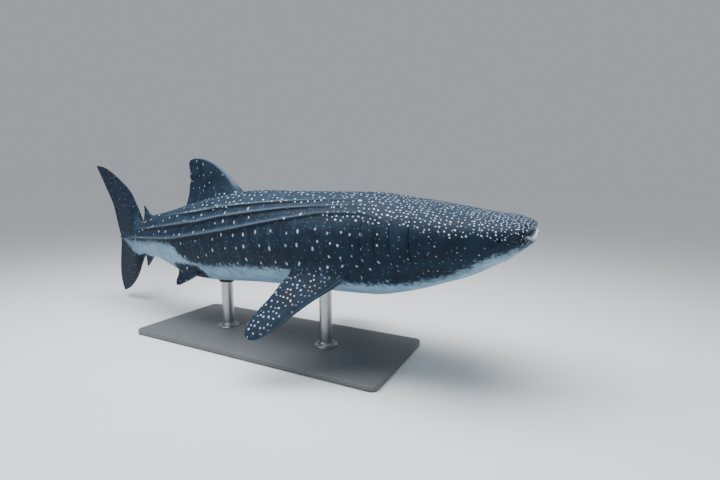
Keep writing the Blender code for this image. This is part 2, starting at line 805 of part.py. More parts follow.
def caudal_line(share, stalk):
    """Places down the left side of the tail fin, share 0 being the stalk and 1 the rear edge."""
    middle = RIDGE_COLUMNS[2]
    line = []
    for column in range(SIDE + 1):
        s0, y0, z0 = stalk[column]
        upper = column <= middle
        if upper:
            across = column / middle
            lead = polyline(CAUDAL_UPPER_LEAD, share)
            rear = polyline(CAUDAL_UPPER_TRAIL, 1.0 - across)
            tip = CAUDAL_UPPER_LEAD[-1]
            edge = CAUDAL_UPPER_LEAD[0]
        else:
            across = (SIDE - column) / (SIDE - middle)
            lead = polyline(CAUDAL_LOWER_LEAD, share)
            rear = polyline(CAUDAL_LOWER_TRAIL, 1.0 - across)
            tip = CAUDAL_LOWER_LEAD[-1]
            edge = CAUDAL_LOWER_LEAD[0]
        core = (mix(s0, FORK[0], share), mix(stalk[middle][2], FORK[1], share))
        place_now = []
        for axis, start in ((0, s0), (1, z0)):
            ruled = mix(lead[axis], core[axis], across) + mix(start, rear[axis], share)
            corners = mix(
                mix(edge[axis], (s0, stalk[middle][2])[axis], across),
                mix(tip[axis], FORK[axis], across),
                share,
            )
            place_now.append(ruled - corners)
        rim = min(1.0, across * CAUDAL_RIM)
        thin = (1.0 - share) ** 0.6 * mix(1.0, CAUDAL_REAR_THICK, share)
        plate = 0.5 * CAUDAL_THICK * math.sqrt(rim) * thin
        keel = 1.0 - share**1.8 if column == middle else (1.0 - share) ** 1.5
        half = y0 * keel + plate * (1.0 - (1.0 - share) ** 3)
        half = max(half, 0.5 * FIN_EDGE * min(1.0, 4.0 * share + CAUDAL_EDGE_START))
        if column in (0, SIDE):
            half = 0.0
        line.append((place_now[0], half, place_now[1]))
    return line


def build_lobe(name, rows, upper):
    """Upper or lower half of the tail fin."""
    middle = RIDGE_COLUMNS[2]
    shell = Shell()
    down = Vector((0.0, 0.0, 0.0 if upper else -GAP))
    previous = None
    for number, line in enumerate(rows):
        part = line[: middle + 1] if upper else line[middle:][::-1]
        shift = down + (back_shift(CUT_STATIONS[-1]) if number == 0 else Vector((0.0, 0.0, 0.0)))
        loop = shell.row(list(part) + [(s, -y, z) for s, y, z in reversed(part[1:])], shift)
        if previous is None:
            lobe_end(shell, loop)
        else:
            shell.strip(previous, loop, closed=True)
        previous = loop
    lobe_end(shell, previous)
    shell.build(name, SKIN_DARK)


def lobe_end(shell, loop):
    """Flat end over a loop with one point on the middle plane and the rest in pairs."""
    pairs = (len(loop) - 1) // 2
    left = loop[1 : pairs + 1]
    right = loop[:pairs:-1]
    shell.face(loop[0], left[0], right[0])
    for k in range(pairs - 1):
        shell.face(left[k], left[k + 1], right[k + 1], right[k])


def ball(name, centre, radii, colour=SKIN_DARK, rings=EYE_RINGS, sides=EYE_SIDES):
    """An egg shape with its own three radii, in metres."""
    mesh = bpy.data.meshes.new(name)
    work = bmesh.new()
    bmesh.ops.create_uvsphere(work, u_segments=sides, v_segments=rings, radius=1.0)
    bmesh.ops.scale(work, vec=radii, verts=work.verts[:])
    bmesh.ops.translate(work, verts=work.verts[:], vec=centre)
    bmesh.ops.triangulate(work, faces=work.faces[:])
    work.to_mesh(mesh)
    work.free()
    thing = bpy.data.objects.new(name, mesh)
    bpy.context.scene.collection.objects.link(thing)
    finish(thing, colour, EYE_ROUGHNESS)
    return thing


def apply_boolean(thing, cutter, operation):
    """Cut or join in place, keep the largest closed surface and drop the cutter."""
    modifier = thing.modifiers.new("cut", "BOOLEAN")
    modifier.operation = operation
    modifier.solver = "EXACT"
    modifier.object = cutter
    bpy.context.view_layer.update()
    result = bpy.data.meshes.new_from_object(thing.evaluated_get(bpy.context.evaluated_depsgraph_get()))
    thing.modifiers.clear()
    thing.data = result
    bpy.data.objects.remove(cutter, do_unlink=True)
    keep_largest(thing)


def keep_largest(thing):
    """Delete every loose surface of a mesh but the largest."""
    work = bmesh.new()
    work.from_mesh(thing.data)
    bmesh.ops.triangulate(work, faces=work.faces[:])
    left = set(work.faces)
    groups = []
    while left:
        group = set()
        queue = [left.pop()]
        while queue:
            face = queue.pop()
            group.add(face)
            for edge in face.edges:
                for other in edge.link_faces:
                    if other in left:
                        left.remove(other)
                        queue.append(other)
        groups.append(group)
    groups.sort(key=lambda group: sum(face.calc_area() for face in group), reverse=True)
    spare = [face for group in groups[1:] for face in group]
    bmesh.ops.delete(work, geom=spare, context="FACES")
    work.to_mesh(thing.data)
    work.free()


def surface_place(lines, ring_range, s, z):
    """Left skin point nearest to a station and height, with its outward direction."""
    best = None
    for number in ring_range:
        for column in range(3, SIDE - 2):
            here = lines[number][column]
            far = (here[0] - s) ** 2 + (here[2] - z) ** 2
            if best is None or far < best[0]:
                best = (far, number, column)
    _, number, column = best
    centre = place(*lines[number][column])
    along = place(*lines[number + 1][column]) - place(*lines[number - 1][column])
    down = place(*lines[number][column + 1]) - place(*lines[number][column - 1])
    normal = along.cross(down).normalized()
    if normal.y < 0:
        normal = -normal
    return centre, normal


def dress_head(head, lines):
    """Nasal flaps, nostrils, spiracles and eye sockets on both sides, and the two eyeballs."""
    rings = range(1, CAP_RINGS + 1)
    for name, side in (("left", 1.0), ("right", -1.0)):
        for station, height, sunk, radii, operation in (
            (*NASAL_FLAP, "UNION"),
            (*NOSTRIL, "DIFFERENCE"),
            (*SPIRACLE, "DIFFERENCE"),
        ):
            centre, normal = surface_place(lines, rings, station, height)
            centre -= normal * sunk
            spot = Vector((centre.x, side * centre.y, centre.z))
            cutter = ball("cutter", spot, radii, rings=SMALL_RINGS, sides=SMALL_SIDES)
            apply_boolean(head, cutter, operation)
        centre, normal = surface_place(lines, rings, EYE_STATION, EYE_HEIGHT)
        centre -= normal * EYE_SUNK
        spot = Vector((centre.x, side * centre.y, centre.z))
        socket = EYE_RADIUS + GAP
        apply_boolean(head, ball("socket", spot, (socket, socket, socket)), "DIFFERENCE")
        ball("eye_" + name, spot, (EYE_RADIUS, EYE_RADIUS, EYE_RADIUS), EYE_DARK)


def build_base():
    height = BASE_SIZE[2]
    mesh = bpy.data.meshes.new("stand_base")
    work = bmesh.new()
    bmesh.ops.create_cube(work, size=1.0)
    bmesh.ops.scale(work, vec=BASE_SIZE, verts=work.verts[:])
    bmesh.ops.translate(work, vec=(0.0, 0.0, height / 2), verts=work.verts[:])
    upright = [
        edge for edge in work.edges if abs(edge.verts[0].co.z - edge.verts[1].co.z) > height / 2
    ]
    bmesh.ops.bevel(
        work,
        geom=upright,
        offset=BASE_CORNER,
        segments=BASE_CORNER_STEPS,
        affect="EDGES",
        profile=0.5,
    )
    bmesh.ops.triangulate(work, faces=work.faces[:])
    work.to_mesh(mesh)
    work.free()
    thing = bpy.data.objects.new("stand_base", mesh)
    bpy.context.scene.collection.objects.link(thing)
    finish(thing, STAND_GREY, BASE_ROUGHNESS)


def build_rod(name, station, above):
    """A round rod from the base up to the belly of the length above it."""
    foot = place(station, 0.0, 0.0)
    low = BASE_SIZE[2] + GAP
    high = place(station, 0.0, section(station)[1]).z + ROD_SPARE
    mesh = bpy.data.meshes.new(name)
    work = bmesh.new()
    bmesh.ops.create_cone(
        work,
        cap_ends=True,
        segments=ROD_SIDES,
        radius1=ROD_RADIUS,
        radius2=ROD_RADIUS,
        depth=high - low,
    )
    bmesh.ops.translate(work, vec=(foot.x, foot.y, (high + low) / 2), verts=work.verts[:])
    bmesh.ops.triangulate(work, faces=work.faces[:])
    work.to_mesh(mesh)
    work.free()
    rod = bpy.data.objects.new(name, mesh)
    bpy.context.scene.collection.objects.link(rod)
    cutter = above.copy()
    cutter.data = above.data.copy()
    cutter.name = "cutter"
    for corner in cutter.data.vertices:
        corner.co.z -= GAP
    bpy.context.scene.collection.objects.link(cutter)
    apply_boolean(rod, cutter, "DIFFERENCE")
    finish(rod, STAND_GREY, ROD_ROUGHNESS)


def build_paired_fins(name, side, lines):
    """The pectoral and the pelvic fin of one side."""
    for kind, root, column, planform, origin, droop, thick, count in (
        (
            "pectoral_",
            PECTORAL_ROOT,
            PECTORAL_COLUMN,
            PECTORAL,
            PECTORAL_ORIGIN,
            PECTORAL_DROOP,
            PECTORAL_THICK,
            PECTORAL_SECTIONS,
        ),
        (
            "pelvic_",
            PELVIC_ROOT,
            PELVIC_COLUMN,
            PELVIC,
            PELVIC_ORIGIN,
            PELVIC_DROOP,
            PELVIC_THICK,
            PELVIC_SECTIONS,
        ),
    ):
        span = [nearest_ring(lines, s) for s in root]
        columns = [side * column - 1, side * column, side * column + 1]
        sections = paired_sections(planform, span[1] - span[0], origin, droop, side, thick, count)
        lean = math.radians(droop)
        out = (0.0, side * math.cos(lean), -math.sin(lean))
        build_fin(kind + name, lines, span, columns, sections, out)


def nearest_ring(lines, station):
    return min(range(CAP_RINGS, len(lines)), key=lambda n: abs(lines[n][0][0] - station))


def main():
    for thing in list(bpy.data.objects):
        bpy.data.objects.remove(thing, do_unlink=True)
    stations = ring_stations()
    lines = [cap_line(ring) for ring in range(CAP_RINGS)] + [side_line(s) for s in stations]
    number_of = {round(s, 4): CAP_RINGS + k for k, s in enumerate(stations)}
    jaw_ring = number_of[JAW_STATION]
    cuts = [number_of[s] for s in CUT_STATIONS]
    head = build_head(lines, jaw_ring, cuts[0])
    build_jaw(lines, jaw_ring)
    names = ("gill_region", "chest", "mid_body", "hind_body", "tail_stalk")
    lengths = {}
    for name, first, last in zip(names, cuts, cuts[1:]):
        lengths[name] = build_length(name, lines, first, last)
    dress_head(head, lines)

    tail_rows = [caudal_line(k / CAUDAL_ROWS, lines[-1]) for k in range(CAUDAL_ROWS + 1)]
    build_lobe("caudal_upper", tail_rows, True)
    build_lobe("caudal_lower", tail_rows, False)

    span = [nearest_ring(lines, s) for s in DORSAL_FIRST_ROOT]
    steps = span[1] - span[0]
    sections = upright_sections(DORSAL_FIRST, steps, DORSAL_FIRST_THICK, DORSAL_FIRST_SECTIONS)
    build_fin("dorsal_first", lines, span, (-1, 0, 1), sections, UP)
    span = [nearest_ring(lines, s) for s in DORSAL_SECOND_ROOT]
    steps = span[1] - span[0]
    sections = upright_sections(DORSAL_SECOND, steps, SMALL_FIN_THICK, SMALL_FIN_SECTIONS)
    build_fin("dorsal_second", lines, span, (-1, 0, 1), sections, UP)
    span = [nearest_ring(lines, s) for s in ANAL_ROOT]
    steps = span[1] - span[0]
    sections = upright_sections(ANAL_FIN, steps, SMALL_FIN_THICK, SMALL_FIN_SECTIONS, -1.0)
    build_fin("anal_fin", lines, span, (SIDE - 1, SIDE, 1 - SIDE), sections, DOWN)
    for name, side in (("left", 1), ("right", -1)):
        build_paired_fins(name, side, lines)

    build_base()
    build_rod("stand_rod_front", ROD_STATIONS[0], lengths["chest"])
    build_rod("stand_rod_rear", ROD_STATIONS[1], lengths["hind_body"])


main()
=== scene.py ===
"""The whale shark as a museum model: its hide, eyes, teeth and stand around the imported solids.

The hide is one closed surface.  A place on the animal is (s, y, z): s behind the tip of the snout,
y to its left and z up, in hundredths of the total length, as in the solids' own source.
"""

import math

import bmesh
import bpy
import numpy as np
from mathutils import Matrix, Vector
from mathutils.bvhtree import BVHTree


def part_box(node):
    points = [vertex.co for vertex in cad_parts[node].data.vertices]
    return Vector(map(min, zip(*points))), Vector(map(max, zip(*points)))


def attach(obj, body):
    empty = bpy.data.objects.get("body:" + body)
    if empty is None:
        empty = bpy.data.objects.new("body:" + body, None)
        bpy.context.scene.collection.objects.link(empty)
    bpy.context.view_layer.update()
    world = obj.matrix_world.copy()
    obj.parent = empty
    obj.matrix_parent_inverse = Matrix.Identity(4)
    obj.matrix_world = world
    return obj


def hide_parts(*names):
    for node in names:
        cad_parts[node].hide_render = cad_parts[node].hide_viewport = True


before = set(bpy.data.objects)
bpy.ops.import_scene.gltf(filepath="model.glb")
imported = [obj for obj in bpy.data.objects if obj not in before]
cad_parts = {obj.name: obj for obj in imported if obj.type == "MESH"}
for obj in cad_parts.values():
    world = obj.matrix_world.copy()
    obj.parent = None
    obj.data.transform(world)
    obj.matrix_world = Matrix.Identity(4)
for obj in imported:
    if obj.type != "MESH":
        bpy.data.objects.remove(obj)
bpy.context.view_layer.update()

# Sizes shared with the solids, in hundredths of the total length and in degrees, apart from
# UNIT, which is a hundredth in metres, and SNOUT_HEIGHT, the height of the snout in metres
UNIT = 0.07
NOSE_UP = 4.0
TAIL_SWING = 12.0
SWING_START = 52.1
SWING_END = 79.2
SNOUT_HEIGHT = 1.40
MIDDLE_STATION = 41.0

# s, back, belly, half width, height of the widest point, squareness above and below it
STATIONS = (
    (4.0, 2.98, -2.95, 7.30, 0.30, 2.60, 2.10),
    (8.0, 3.95, -4.80, 8.00, 0.20, 2.50, 2.20),
    (12.0, 4.95, -6.00, 8.45, 0.10, 2.40, 2.30),
    (16.0, 5.82, -7.05, 8.65, 0.00, 2.30, 2.30),
    (21.0, 6.80, -7.75, 8.55, 0.00, 2.20, 2.30),
    (27.0, 7.25, -7.65, 8.20, 0.10, 2.10, 2.20),
    (35.0, 7.90, -7.20, 7.50, 0.30, 2.05, 2.10),
    (44.0, 8.55, -6.95, 6.50, 0.50, 2.00, 2.00),
    (52.0, 8.05, -7.00, 5.35, 0.60, 1.90, 2.00),
    (60.0, 6.95, -6.45, 4.20, 0.75, 1.85, 2.00),
    (66.0, 6.05, -4.60, 3.30, 0.90, 1.85, 1.95),
    (72.0, 5.40, -3.10, 2.50, 1.00, 1.85, 1.90),
    (79.0, 4.10, -2.35, 1.70, 1.05, 1.85, 1.85),
)

# Columns of the skin's grid down one side, and those that carry the mouth and the ridges
SIDE = 26
MOUTH_COLUMN = 13
RIDGE_COLUMNS = (4, 7, 11)

# First and last station of each fin's root
DORSAL_FIRST_ROOT = (46.4, 60.6)
DORSAL_SECOND_ROOT = (72.4, 76.8)
ANAL_ROOT = (73.4, 77.8)
PECTORAL_ROOT = (22.3, 31.6)
PELVIC_ROOT = (55.4, 60.8)

# Ridges: station and height of each crest, station and rise above the skin, and their feet
RIDGE_LINES = (
    ((27.0, 6.05), (36.0, 6.25), (46.0, 6.1), (54.0, 5.55), (60.0, 5.35), (66.0, 5.05), (79.0, 3.7)),
    ((30.0, 5.4), (40.0, 4.95), (48.0, 4.5), (58.0, 3.6), (69.0, 3.0), (79.0, 2.6)),
    ((27.0, 4.3), (36.0, 3.45), (45.0, 2.45), (54.0, 1.65), (62.0, 1.05), (79.0, 1.05)),
)
RIDGE_RISE = (
    ((16.0, 0.0), (28.0, 0.30), (52.0, 0.34), (60.0, 0.16), (66.0, 0.0)),
    ((18.0, 0.0), (30.0, 0.30), (56.0, 0.34), (70.0, 0.22), (79.0, 0.05)),
    ((16.0, 0.0), (27.0, 0.26), (54.0, 0.36), (66.0, 0.62), (74.0, 0.95), (79.0, 1.05)),
)
RIDGE_FOOT = 0.62
RIDGE_FOOT_ANGLE = 7.0
RIDGE_APART = 2.4
RIDGES_FROM = 9.0
RIDGES_IN_FULL = 22.0
RIDGE_UPPER_CURVE = 1.3
RIDGE_LOWER_CURVE = 3.2

# Angles from the back, in degrees, that the columns keep to
TOP_RIDGE_ANGLE = 26.0
FLANK_ANGLE = 93.0
PECTORAL_COLUMN = 17
PECTORAL_ANGLES = (114.0, 114.0)
PELVIC_COLUMN = 22
PELVIC_ANGLES = (148.0, 138.5)
PAIRED_ANGLES_FROM = 34.0
PAIRED_ANGLES_TO = 55.0
MIDLINE_HALF_ROOT = (5.0, 7.0)
PAIRED_HALF_ROOT = (4.0, 6.0)

# Gill slits: stations, step, slit and bow, and the angles between which they are open
GILL_STATIONS = (13.4, 15.8, 17.9, 19.7, 21.1)
GILL_STEP = 0.24
GILL_SINK = 0.06
GILL_SLIT = 0.13
GILL_BOW = 0.35
GILL_BOW_END = 1.2
GILL_BOW_FROM = 10.5
GILL_BOW_TO = 21.75
GILL_ANGLES = (48.0, 112.0)
GILL_FADE_ANGLE = 11.0
GILL_LEAD = 2.0

# Snout and mouth; the body's own rings run from CAP_STATION to STALK_END
CAP_STATION = 4.0
STALK_END = 79.0
MOUTH_HALF_WIDTH = 6.15
MOUTH_SETBACK = 0.98
MOUTH_WIDE_POWER = 0.8
MOUTH_FRONT_POWER = 0.55
MOUTH_CORNER_HEIGHT = 0.8
UPPER_LIP_HEIGHT = 1.16
LOWER_LIP_HEIGHT = 0.85
SNOUT_SET = 0.27
JAW_SET = 0.24
UPPER_ARCH = 0.2
LOWER_ARCH = 0.45
LIP_ROLL = (0.0, 0.18, 0.31, 0.34, 0.24, 0.06, -0.05, -0.03, 0.0)
UPPER_ROLL = 0.12
SIDE_ROLL = 0.45
CAP_STEPS = 10
UPPER_SQUARE = 1.75
CHIN_SQUARE = 1.22
CORNER_SQUARE = 1.5
MOUTH_HOLLOW = 0.75
MOUTH_RISE = 1.5
MOUTH_NARROWS = 2.0
MOUTH_DEPTH = 5.0
MOUTH_BACK = 6.5
THROAT_OPEN = 0.06
LIP_EDGE = 0.1
JAW_LINE = ((4.0, -0.95), (8.4, -1.45), (14.0, -1.1), (24.0, -0.25))

# Small features of the head: station and height
NASAL_FLAP = (1.45, 1.25)
NOSTRIL = (1.00, 1.75)
SPIRACLE = (3.60, 0.25)

# Fins: how their edges are rounded and how much thicker they are at the root
EDGE_ROUNDING = 0.5
FIN_EDGE = 0.075
FIN_FRONT = 0.045
FIN_REAR = 0.975
ROOT_THICKER = 0.35
ROOT_THICKER_ROWS = 1.8

# Leading and trailing edge of each fin at a few stations from root to tip.  Those of a paired
# fin are distances back and out from its origin, and its droop is below level.
DORSAL_FIRST = (
    ((47.0, 9.45), (60.2, 8.05)),
    ((48.3, 10.75), (59.5, 9.3)),
    ((49.9, 12.3), (59.2, 11.0)),
    ((51.7, 13.65), (58.75, 12.7)),
    ((53.7, 14.65), (58.85, 13.95)),
    ((55.5, 15.1), (58.75, 14.75)),
    ((56.9, 15.27), (58.2, 15.1)),
)
DORSAL_SECOND = (
    ((73.1, 5.55), (76.9, 4.95)),
    ((74.2, 6.35), (76.35, 5.85)),
    ((75.1, 7.1), (76.15, 6.75)),
    ((75.75, 7.55), (76.12, 7.4)),
)
ANAL_FIN = (
    ((74.1, -3.25), (78.2, -2.75)),
    ((75.2, -4.05), (77.75, -3.6)),
    ((76.4, -4.9), (77.62, -4.55)),
    ((77.2, -5.35), (77.65, -5.2)),
)
PECTORAL = (
    ((0.6, 0.8), (9.9, 0.6)),
    ((1.9, 2.3), (10.6, 1.7)),
    ((3.7, 3.8), (11.0, 3.3)),
    ((5.9, 6.1), (11.9, 5.3)),
    ((8.0, 8.6), (12.8, 7.3)),
    ((9.8, 10.2), (13.05, 8.9)),
    ((11.2, 10.8), (12.75, 10.1)),
)
PELVIC = (
    ((0.6, 0.45), (5.3, 0.32)),
    ((1.6, 1.05), (5.35, 0.85)),
    ((2.8, 1.7), (5.05, 1.55)),
    ((3.8, 2.2), (4.75, 2.1)),
)
PECTORAL_ORIGIN = (22.2, 7.4, -3.8)
PECTORAL_DROOP = 45.0
PELVIC_ORIGIN = (55.4, 3.1, -5.6)
PELVIC_DROOP = 55.0

# Thickness of the fins as a share of their chord, and the tail fin's outline and thickness
DORSAL_FIRST_THICK = 0.105
SMALL_FIN_THICK = 0.13
PECTORAL_THICK = 0.115
PELVIC_THICK = 0.1
CAUDAL_UPPER_LEAD = (
    (79.0, 4.1),
    (79.2, 7.2),
    (81.5, 10.9),
    (85.3, 13.2),
    (90.0, 15.7),
    (95.2, 17.75),
    (99.4, 18.4),
)
CAUDAL_UPPER_TRAIL = ((89.9, 1.15), (91.2, 4.6), (91.9, 8.0), (94.8, 11.8), (98.6, 16.7), (100.0, 18.3))
CAUDAL_LOWER_LEAD = ((79.0, -2.35), (80.3, -5.7), (83.1, -8.5), (86.9, -10.9), (90.4, -11.9))
CAUDAL_LOWER_TRAIL = ((89.9, 1.15), (90.3, -1.0), (91.9, -4.9), (92.7, -8.9), (91.5, -11.9))
FORK = (89.9, 1.15)
CAUDAL_THICK = 0.95
CAUDAL_RIM = 3.2
CAUDAL_REAR_THICK = 0.35
CAUDAL_EDGE_START = 0.2

# How fine the hide is: points to a column, round the body, and rings of the parts
FINE = 4
COLUMNS = SIDE * FINE
AROUND = 2 * COLUMNS
CAP_RINGS = 64
MOUTH_RINGS = 22
CAUDAL_RINGS = 36
# Start station and ring spacing from there on, and the room that a gill slit's own rings take
RING_STEPS = ((4.0, 0.15), (12.7, 0.3), (21.75, 0.45), (34.2, 0.55), (72.4, 0.45))
GILL_CLEAR = (0.3, 0.4)
# Rings at one gill slit: place after the slit, backward shift of the free edge, height
GILL_PROFILE = (
    (-0.16, 0.0, 0.20),
    (-0.06, 0.02, 0.235),
    (0.0, 0.06, 0.24),
    (0.02, 0.085, 0.21),
    (0.03, 0.07, 0.15),
    (0.04, -0.02, 0.05),
    (0.05, -0.10, -0.06),
    (0.06, -0.09, -0.16),
    (0.09, 0.02, -0.18),
    (0.15, 0.10, -0.13),
    (0.27, 0.05, -0.07),
)
# Offsets from a slit between which its pocket is painted dark as shade, and the flap free of spots
GILL_POCKET = (0.025, 0.1)
GILL_PLAIN = (-0.03, 0.2)
# Inside of the mouth: crowding of its rings towards the lips, and its width at the back as shares
# of the lips' width, the second over its last quarter
MOUTH_CROWDING = 1.35
MOUTH_TAPER = 0.72
THROAT_TAPER = 0.3

# Border between the dark flank and the pale belly: station and height
BELLY_LINE = (
    (0.0, -0.2),
    (4.0, -1.25),
    (7.8, -3.0),
    (12.0, -4.4),
    (16.2, -5.0),
    (24.1, -5.1),
    (35.0, -3.3),
    (45.7, -3.3),
    (51.7, -3.6),
    (54.9, -3.2),
    (57.9, -2.2),
    (61.6, 0.2),
    (70.0, 0.5),
    (77.0, 0.4),
    (90.0, 0.95),
)
# Lower edge of the pale wedge that runs out over the tail fin: stations and heights
TAIL_WEDGE = ((79.0, 89.9), (-3.0, 1.0))
# Metres below that border that paint a fin's face fully dark or pale
DARK = -0.4
PALE = 0.12


def smooth_curve(keys, x):
    """Values at x of a smooth curve through (position, value) keys that never overshoots."""
    xs, ys = np.array(keys, float).T
    x = np.clip(np.asarray(x, float), xs[0], xs[-1])
    rises = np.diff(ys) / np.diff(xs)
    both = rises[:-1] * rises[1:]
    total = np.where(both > 0.0, rises[:-1] + rises[1:], 1.0)
    slopes = np.concatenate([rises[:1], np.where(both > 0.0, 2.0 * both / total, 0.0), rises[-1:]])
    i = np.clip(np.searchsorted(xs, x, side="right") - 1, 0, len(xs) - 2)
    span = xs[i + 1] - xs[i]
    t = (x - xs[i]) / span
    return (
        ys[i] * (1 + 2 * t) * (1 - t) ** 2
        + ys[i + 1] * t * t * (3 - 2 * t)
        + span * (slopes[i] * t * (1 - t) ** 2 - slopes[i + 1] * t * t * (1 - t))
    )


def ease(x, start, end):
    """0 before start, 1 after end, and a smooth rise between."""
    t = np.clip((np.asarray(x, float) - start) / (end - start), 0.0, 1.0)
    return t * t * (3.0 - 2.0 * t)


def mix(a, b, share):
    """From a at share 0 to b at share 1."""
    return a + (b - a) * share


# The body's middle line, bent by the tail's swing and added up in short steps
AXIS_STEP = 0.25
AXIS_END = 110.0
AXIS_S = np.arange(0.0, AXIS_END, AXIS_STEP)
AXIS_TURN = math.radians(TAIL_SWING) * ease(AXIS_S, SWING_START, SWING_END)
AXIS_X = -np.concatenate([[0.0], np.cumsum(np.cos(AXIS_TURN[1:]) * AXIS_STEP)])
AXIS_Y = np.concatenate([[0.0], np.cumsum(np.sin(AXIS_TURN[1:]) * AXIS_STEP)])


def place(spots):
    """World positions in metres of an array of places (s, y, z) on the animal."""
    s, y, z = np.moveaxis(np.asarray(spots, float), -1, 0)
    turn = math.radians(TAIL_SWING) * ease(s, SWING_START, SWING_END)
    x = np.where(s < 0.0, -s, np.interp(s, AXIS_S, AXIS_X)) + y * np.sin(turn)
    side = np.interp(s, AXIS_S, AXIS_Y) + y * np.cos(turn)
    pitch = math.radians(NOSE_UP)
    ahead = x * math.cos(pitch) - z * math.sin(pitch)
    height = z * math.cos(pitch) + x * math.sin(pitch)
    return np.stack(
        [(ahead + MIDDLE_STATION) * UNIT, side * UNIT, SNOUT_HEIGHT + height * UNIT],
        axis=-1,
    )


def section(s):
    """Back, belly, half width, widest height and the two squarenesses at stations s."""
    return [smooth_curve([(row[0], row[k]) for row in STATIONS], s) for k in range(1, 7)]


def angle_at_height(s, z):
    """Angle from the back, in degrees, of the skin at height z."""
    back, belly, _, widest, above, below = section(s)
    high = np.clip((z - widest) / (back - widest), 0.0, 1.0)
    low = np.clip((widest - z) / (widest - belly), 0.0, 1.0)
    upper = np.degrees(np.arccos(high ** (above / 2)))
    lower = 180.0 - np.degrees(np.arccos(low ** (below / 2)))
    return np.where(z >= widest, upper, lower)


def foil_half(c):
    """Half thickness of a fin at a share of its chord, as a share of the full thickness.

    It is the usual four-figure foil section.
    """
    c = np.asarray(c, float)
    return 5.0 * (0.2969 * np.sqrt(c) - 0.126 * c - 0.3516 * c**2 + 0.2843 * c**3 - 0.1036 * c**4)


def root_swell(s, root):
    """Shape of a fin's root on the skin: 0 at its ends and 1 where the fin is thickest."""
    share = np.clip((s - root[0]) / (root[1] - root[0]), 0.0, 1.0)
    return np.where((share > 0.0) & (share < 1.0), 2.0 * foil_half(share), 0.0)


def column_angles(s):
    """Angles of the main columns from back to belly at each station, one row a station."""
    s = np.asarray(s, float)
    jaw = angle_at_height(s, smooth_curve(JAW_LINE, s))
    mouth = np.where(s < JAW_LINE[-1][0], jaw, FLANK_ANGLE)
    low_columns = SIDE - MOUTH_COLUMN
    even = [mouth * j / MOUTH_COLUMN for j in range(MOUTH_COLUMN)]
    even += [mix(mouth, 180.0, j / low_columns) for j in range(low_columns + 1)]
    foot = np.minimum(RIDGE_FOOT_ANGLE, np.degrees(RIDGE_FOOT / section(s)[2]))
    dorsal = np.maximum(root_swell(s, DORSAL_FIRST_ROOT), root_swell(s, DORSAL_SECOND_ROOT))
    keys = {0: s * 0.0, 1: MIDLINE_HALF_ROOT[0] + MIDLINE_HALF_ROOT[1] * dorsal}
    crests = []
    least = TOP_RIDGE_ANGLE
    for line in RIDGE_LINES:
        start = line[0][0]
        free = angle_at_height(np.maximum(s, start), smooth_curve(line, s))
        crests.append(np.maximum(free, least))
        least = crests[-1] + RIDGE_APART * foot
    for column, crest in zip(RIDGE_COLUMNS, crests):
        keys[column - 1] = crest - foot
        keys[column] = crest
        keys[column + 1] = crest + foot
    keys[MOUTH_COLUMN] = np.maximum(FLANK_ANGLE, least)
    late = ease(s, PAIRED_ANGLES_FROM, PAIRED_ANGLES_TO)
    for middle, angles, root in (
        (PECTORAL_COLUMN, PECTORAL_ANGLES, PECTORAL_ROOT),
        (PELVIC_COLUMN, PELVIC_ANGLES, PELVIC_ROOT),
    ):
        keys[middle] = mix(angles[0], angles[1], late)
        half_root = PAIRED_HALF_ROOT[0] + PAIRED_HALF_ROOT[1] * root_swell(s, root)
        keys[middle - 1] = keys[middle] - half_root
        keys[middle + 1] = keys[middle] + half_root
    keys[SIDE - 1] = 180.0 - MIDLINE_HALF_ROOT[0] - MIDLINE_HALF_ROOT[1] * root_swell(s, ANAL_ROOT)
    keys[SIDE] = s * 0.0 + 180.0
    known = sorted(keys)
    share = ease(s, RIDGES_FROM, RIDGES_IN_FULL)
    rows = []
    for n in range(len(s)):
        follow = np.interp(range(SIDE + 1), known, [float(keys[k][n]) for k in known])
        rows.append(mix(np.array([float(column[n]) for column in even]), follow, share[n]))
    return np.array(rows)


FINE_COLUMNS = np.arange(COLUMNS + 1) / FINE


def crest_weight(offset):
    """Cross section of a ridge: a gentle slope above its crest and an undercut one below."""
    reach = np.clip(1.0 - np.abs(offset), 0.0, 1.0)
    return np.where(offset < 0.0, reach**RIDGE_UPPER_CURVE, reach**RIDGE_LOWER_CURVE)


def side_grid(base, shift, relief):
    """Places down the left side for body rings; returns (rings, columns, 3) and the gill window."""
    main = column_angles(base)
    angle = np.array([np.interp(FINE_COLUMNS, range(SIDE + 1), row) for row in main])
    s = base[:, None]
    top, low = GILL_ANGLES
    fade = GILL_FADE_ANGLE
    window = ease(angle, top - fade, top + fade) * (1.0 - ease(angle, low - fade, low + fade))
    share = ease(s, GILL_BOW_FROM, GILL_STATIONS[0])
    share = share * (1.0 - ease(s, GILL_STATIONS[-1] + GILL_SLIT, GILL_BOW_TO))
    across = 2.0 * np.abs(angle - 0.5 * (top + low)) / (low - top)
    s = s - GILL_BOW * share * np.minimum(across, GILL_BOW_END) ** 2
    back, belly, half, widest, above, below = section(s)
    raised = relief[:, None] * window
    for crest, rise in zip(RIDGE_COLUMNS, RIDGE_RISE):
        raised = raised + smooth_curve(rise, base)[:, None] * crest_weight(FINE_COLUMNS - crest)
    turn = np.radians(angle)
    upper = angle <= 90.0
    square = np.where(upper, above, below)
    tall = np.where(upper, back - widest, widest - belly)
    sine = np.clip(np.sin(turn), 0.0, 1.0)
    cosine = np.cos(turn)
    y = half * sine ** (2 / square)
    z = widest + np.sign(cosine) * tall * np.abs(cosine) ** (2 / square)
    out_y, out_z = sine / half, cosine / tall
    size = np.hypot(out_y, out_z)
    y = y + out_y / size * raised
    z = z + out_z / size * raised
    y[:, 0] = 0.0
    y[:, -1] = 0.0
    return np.stack([s + window * shift[:, None], y, z], axis=-1), window


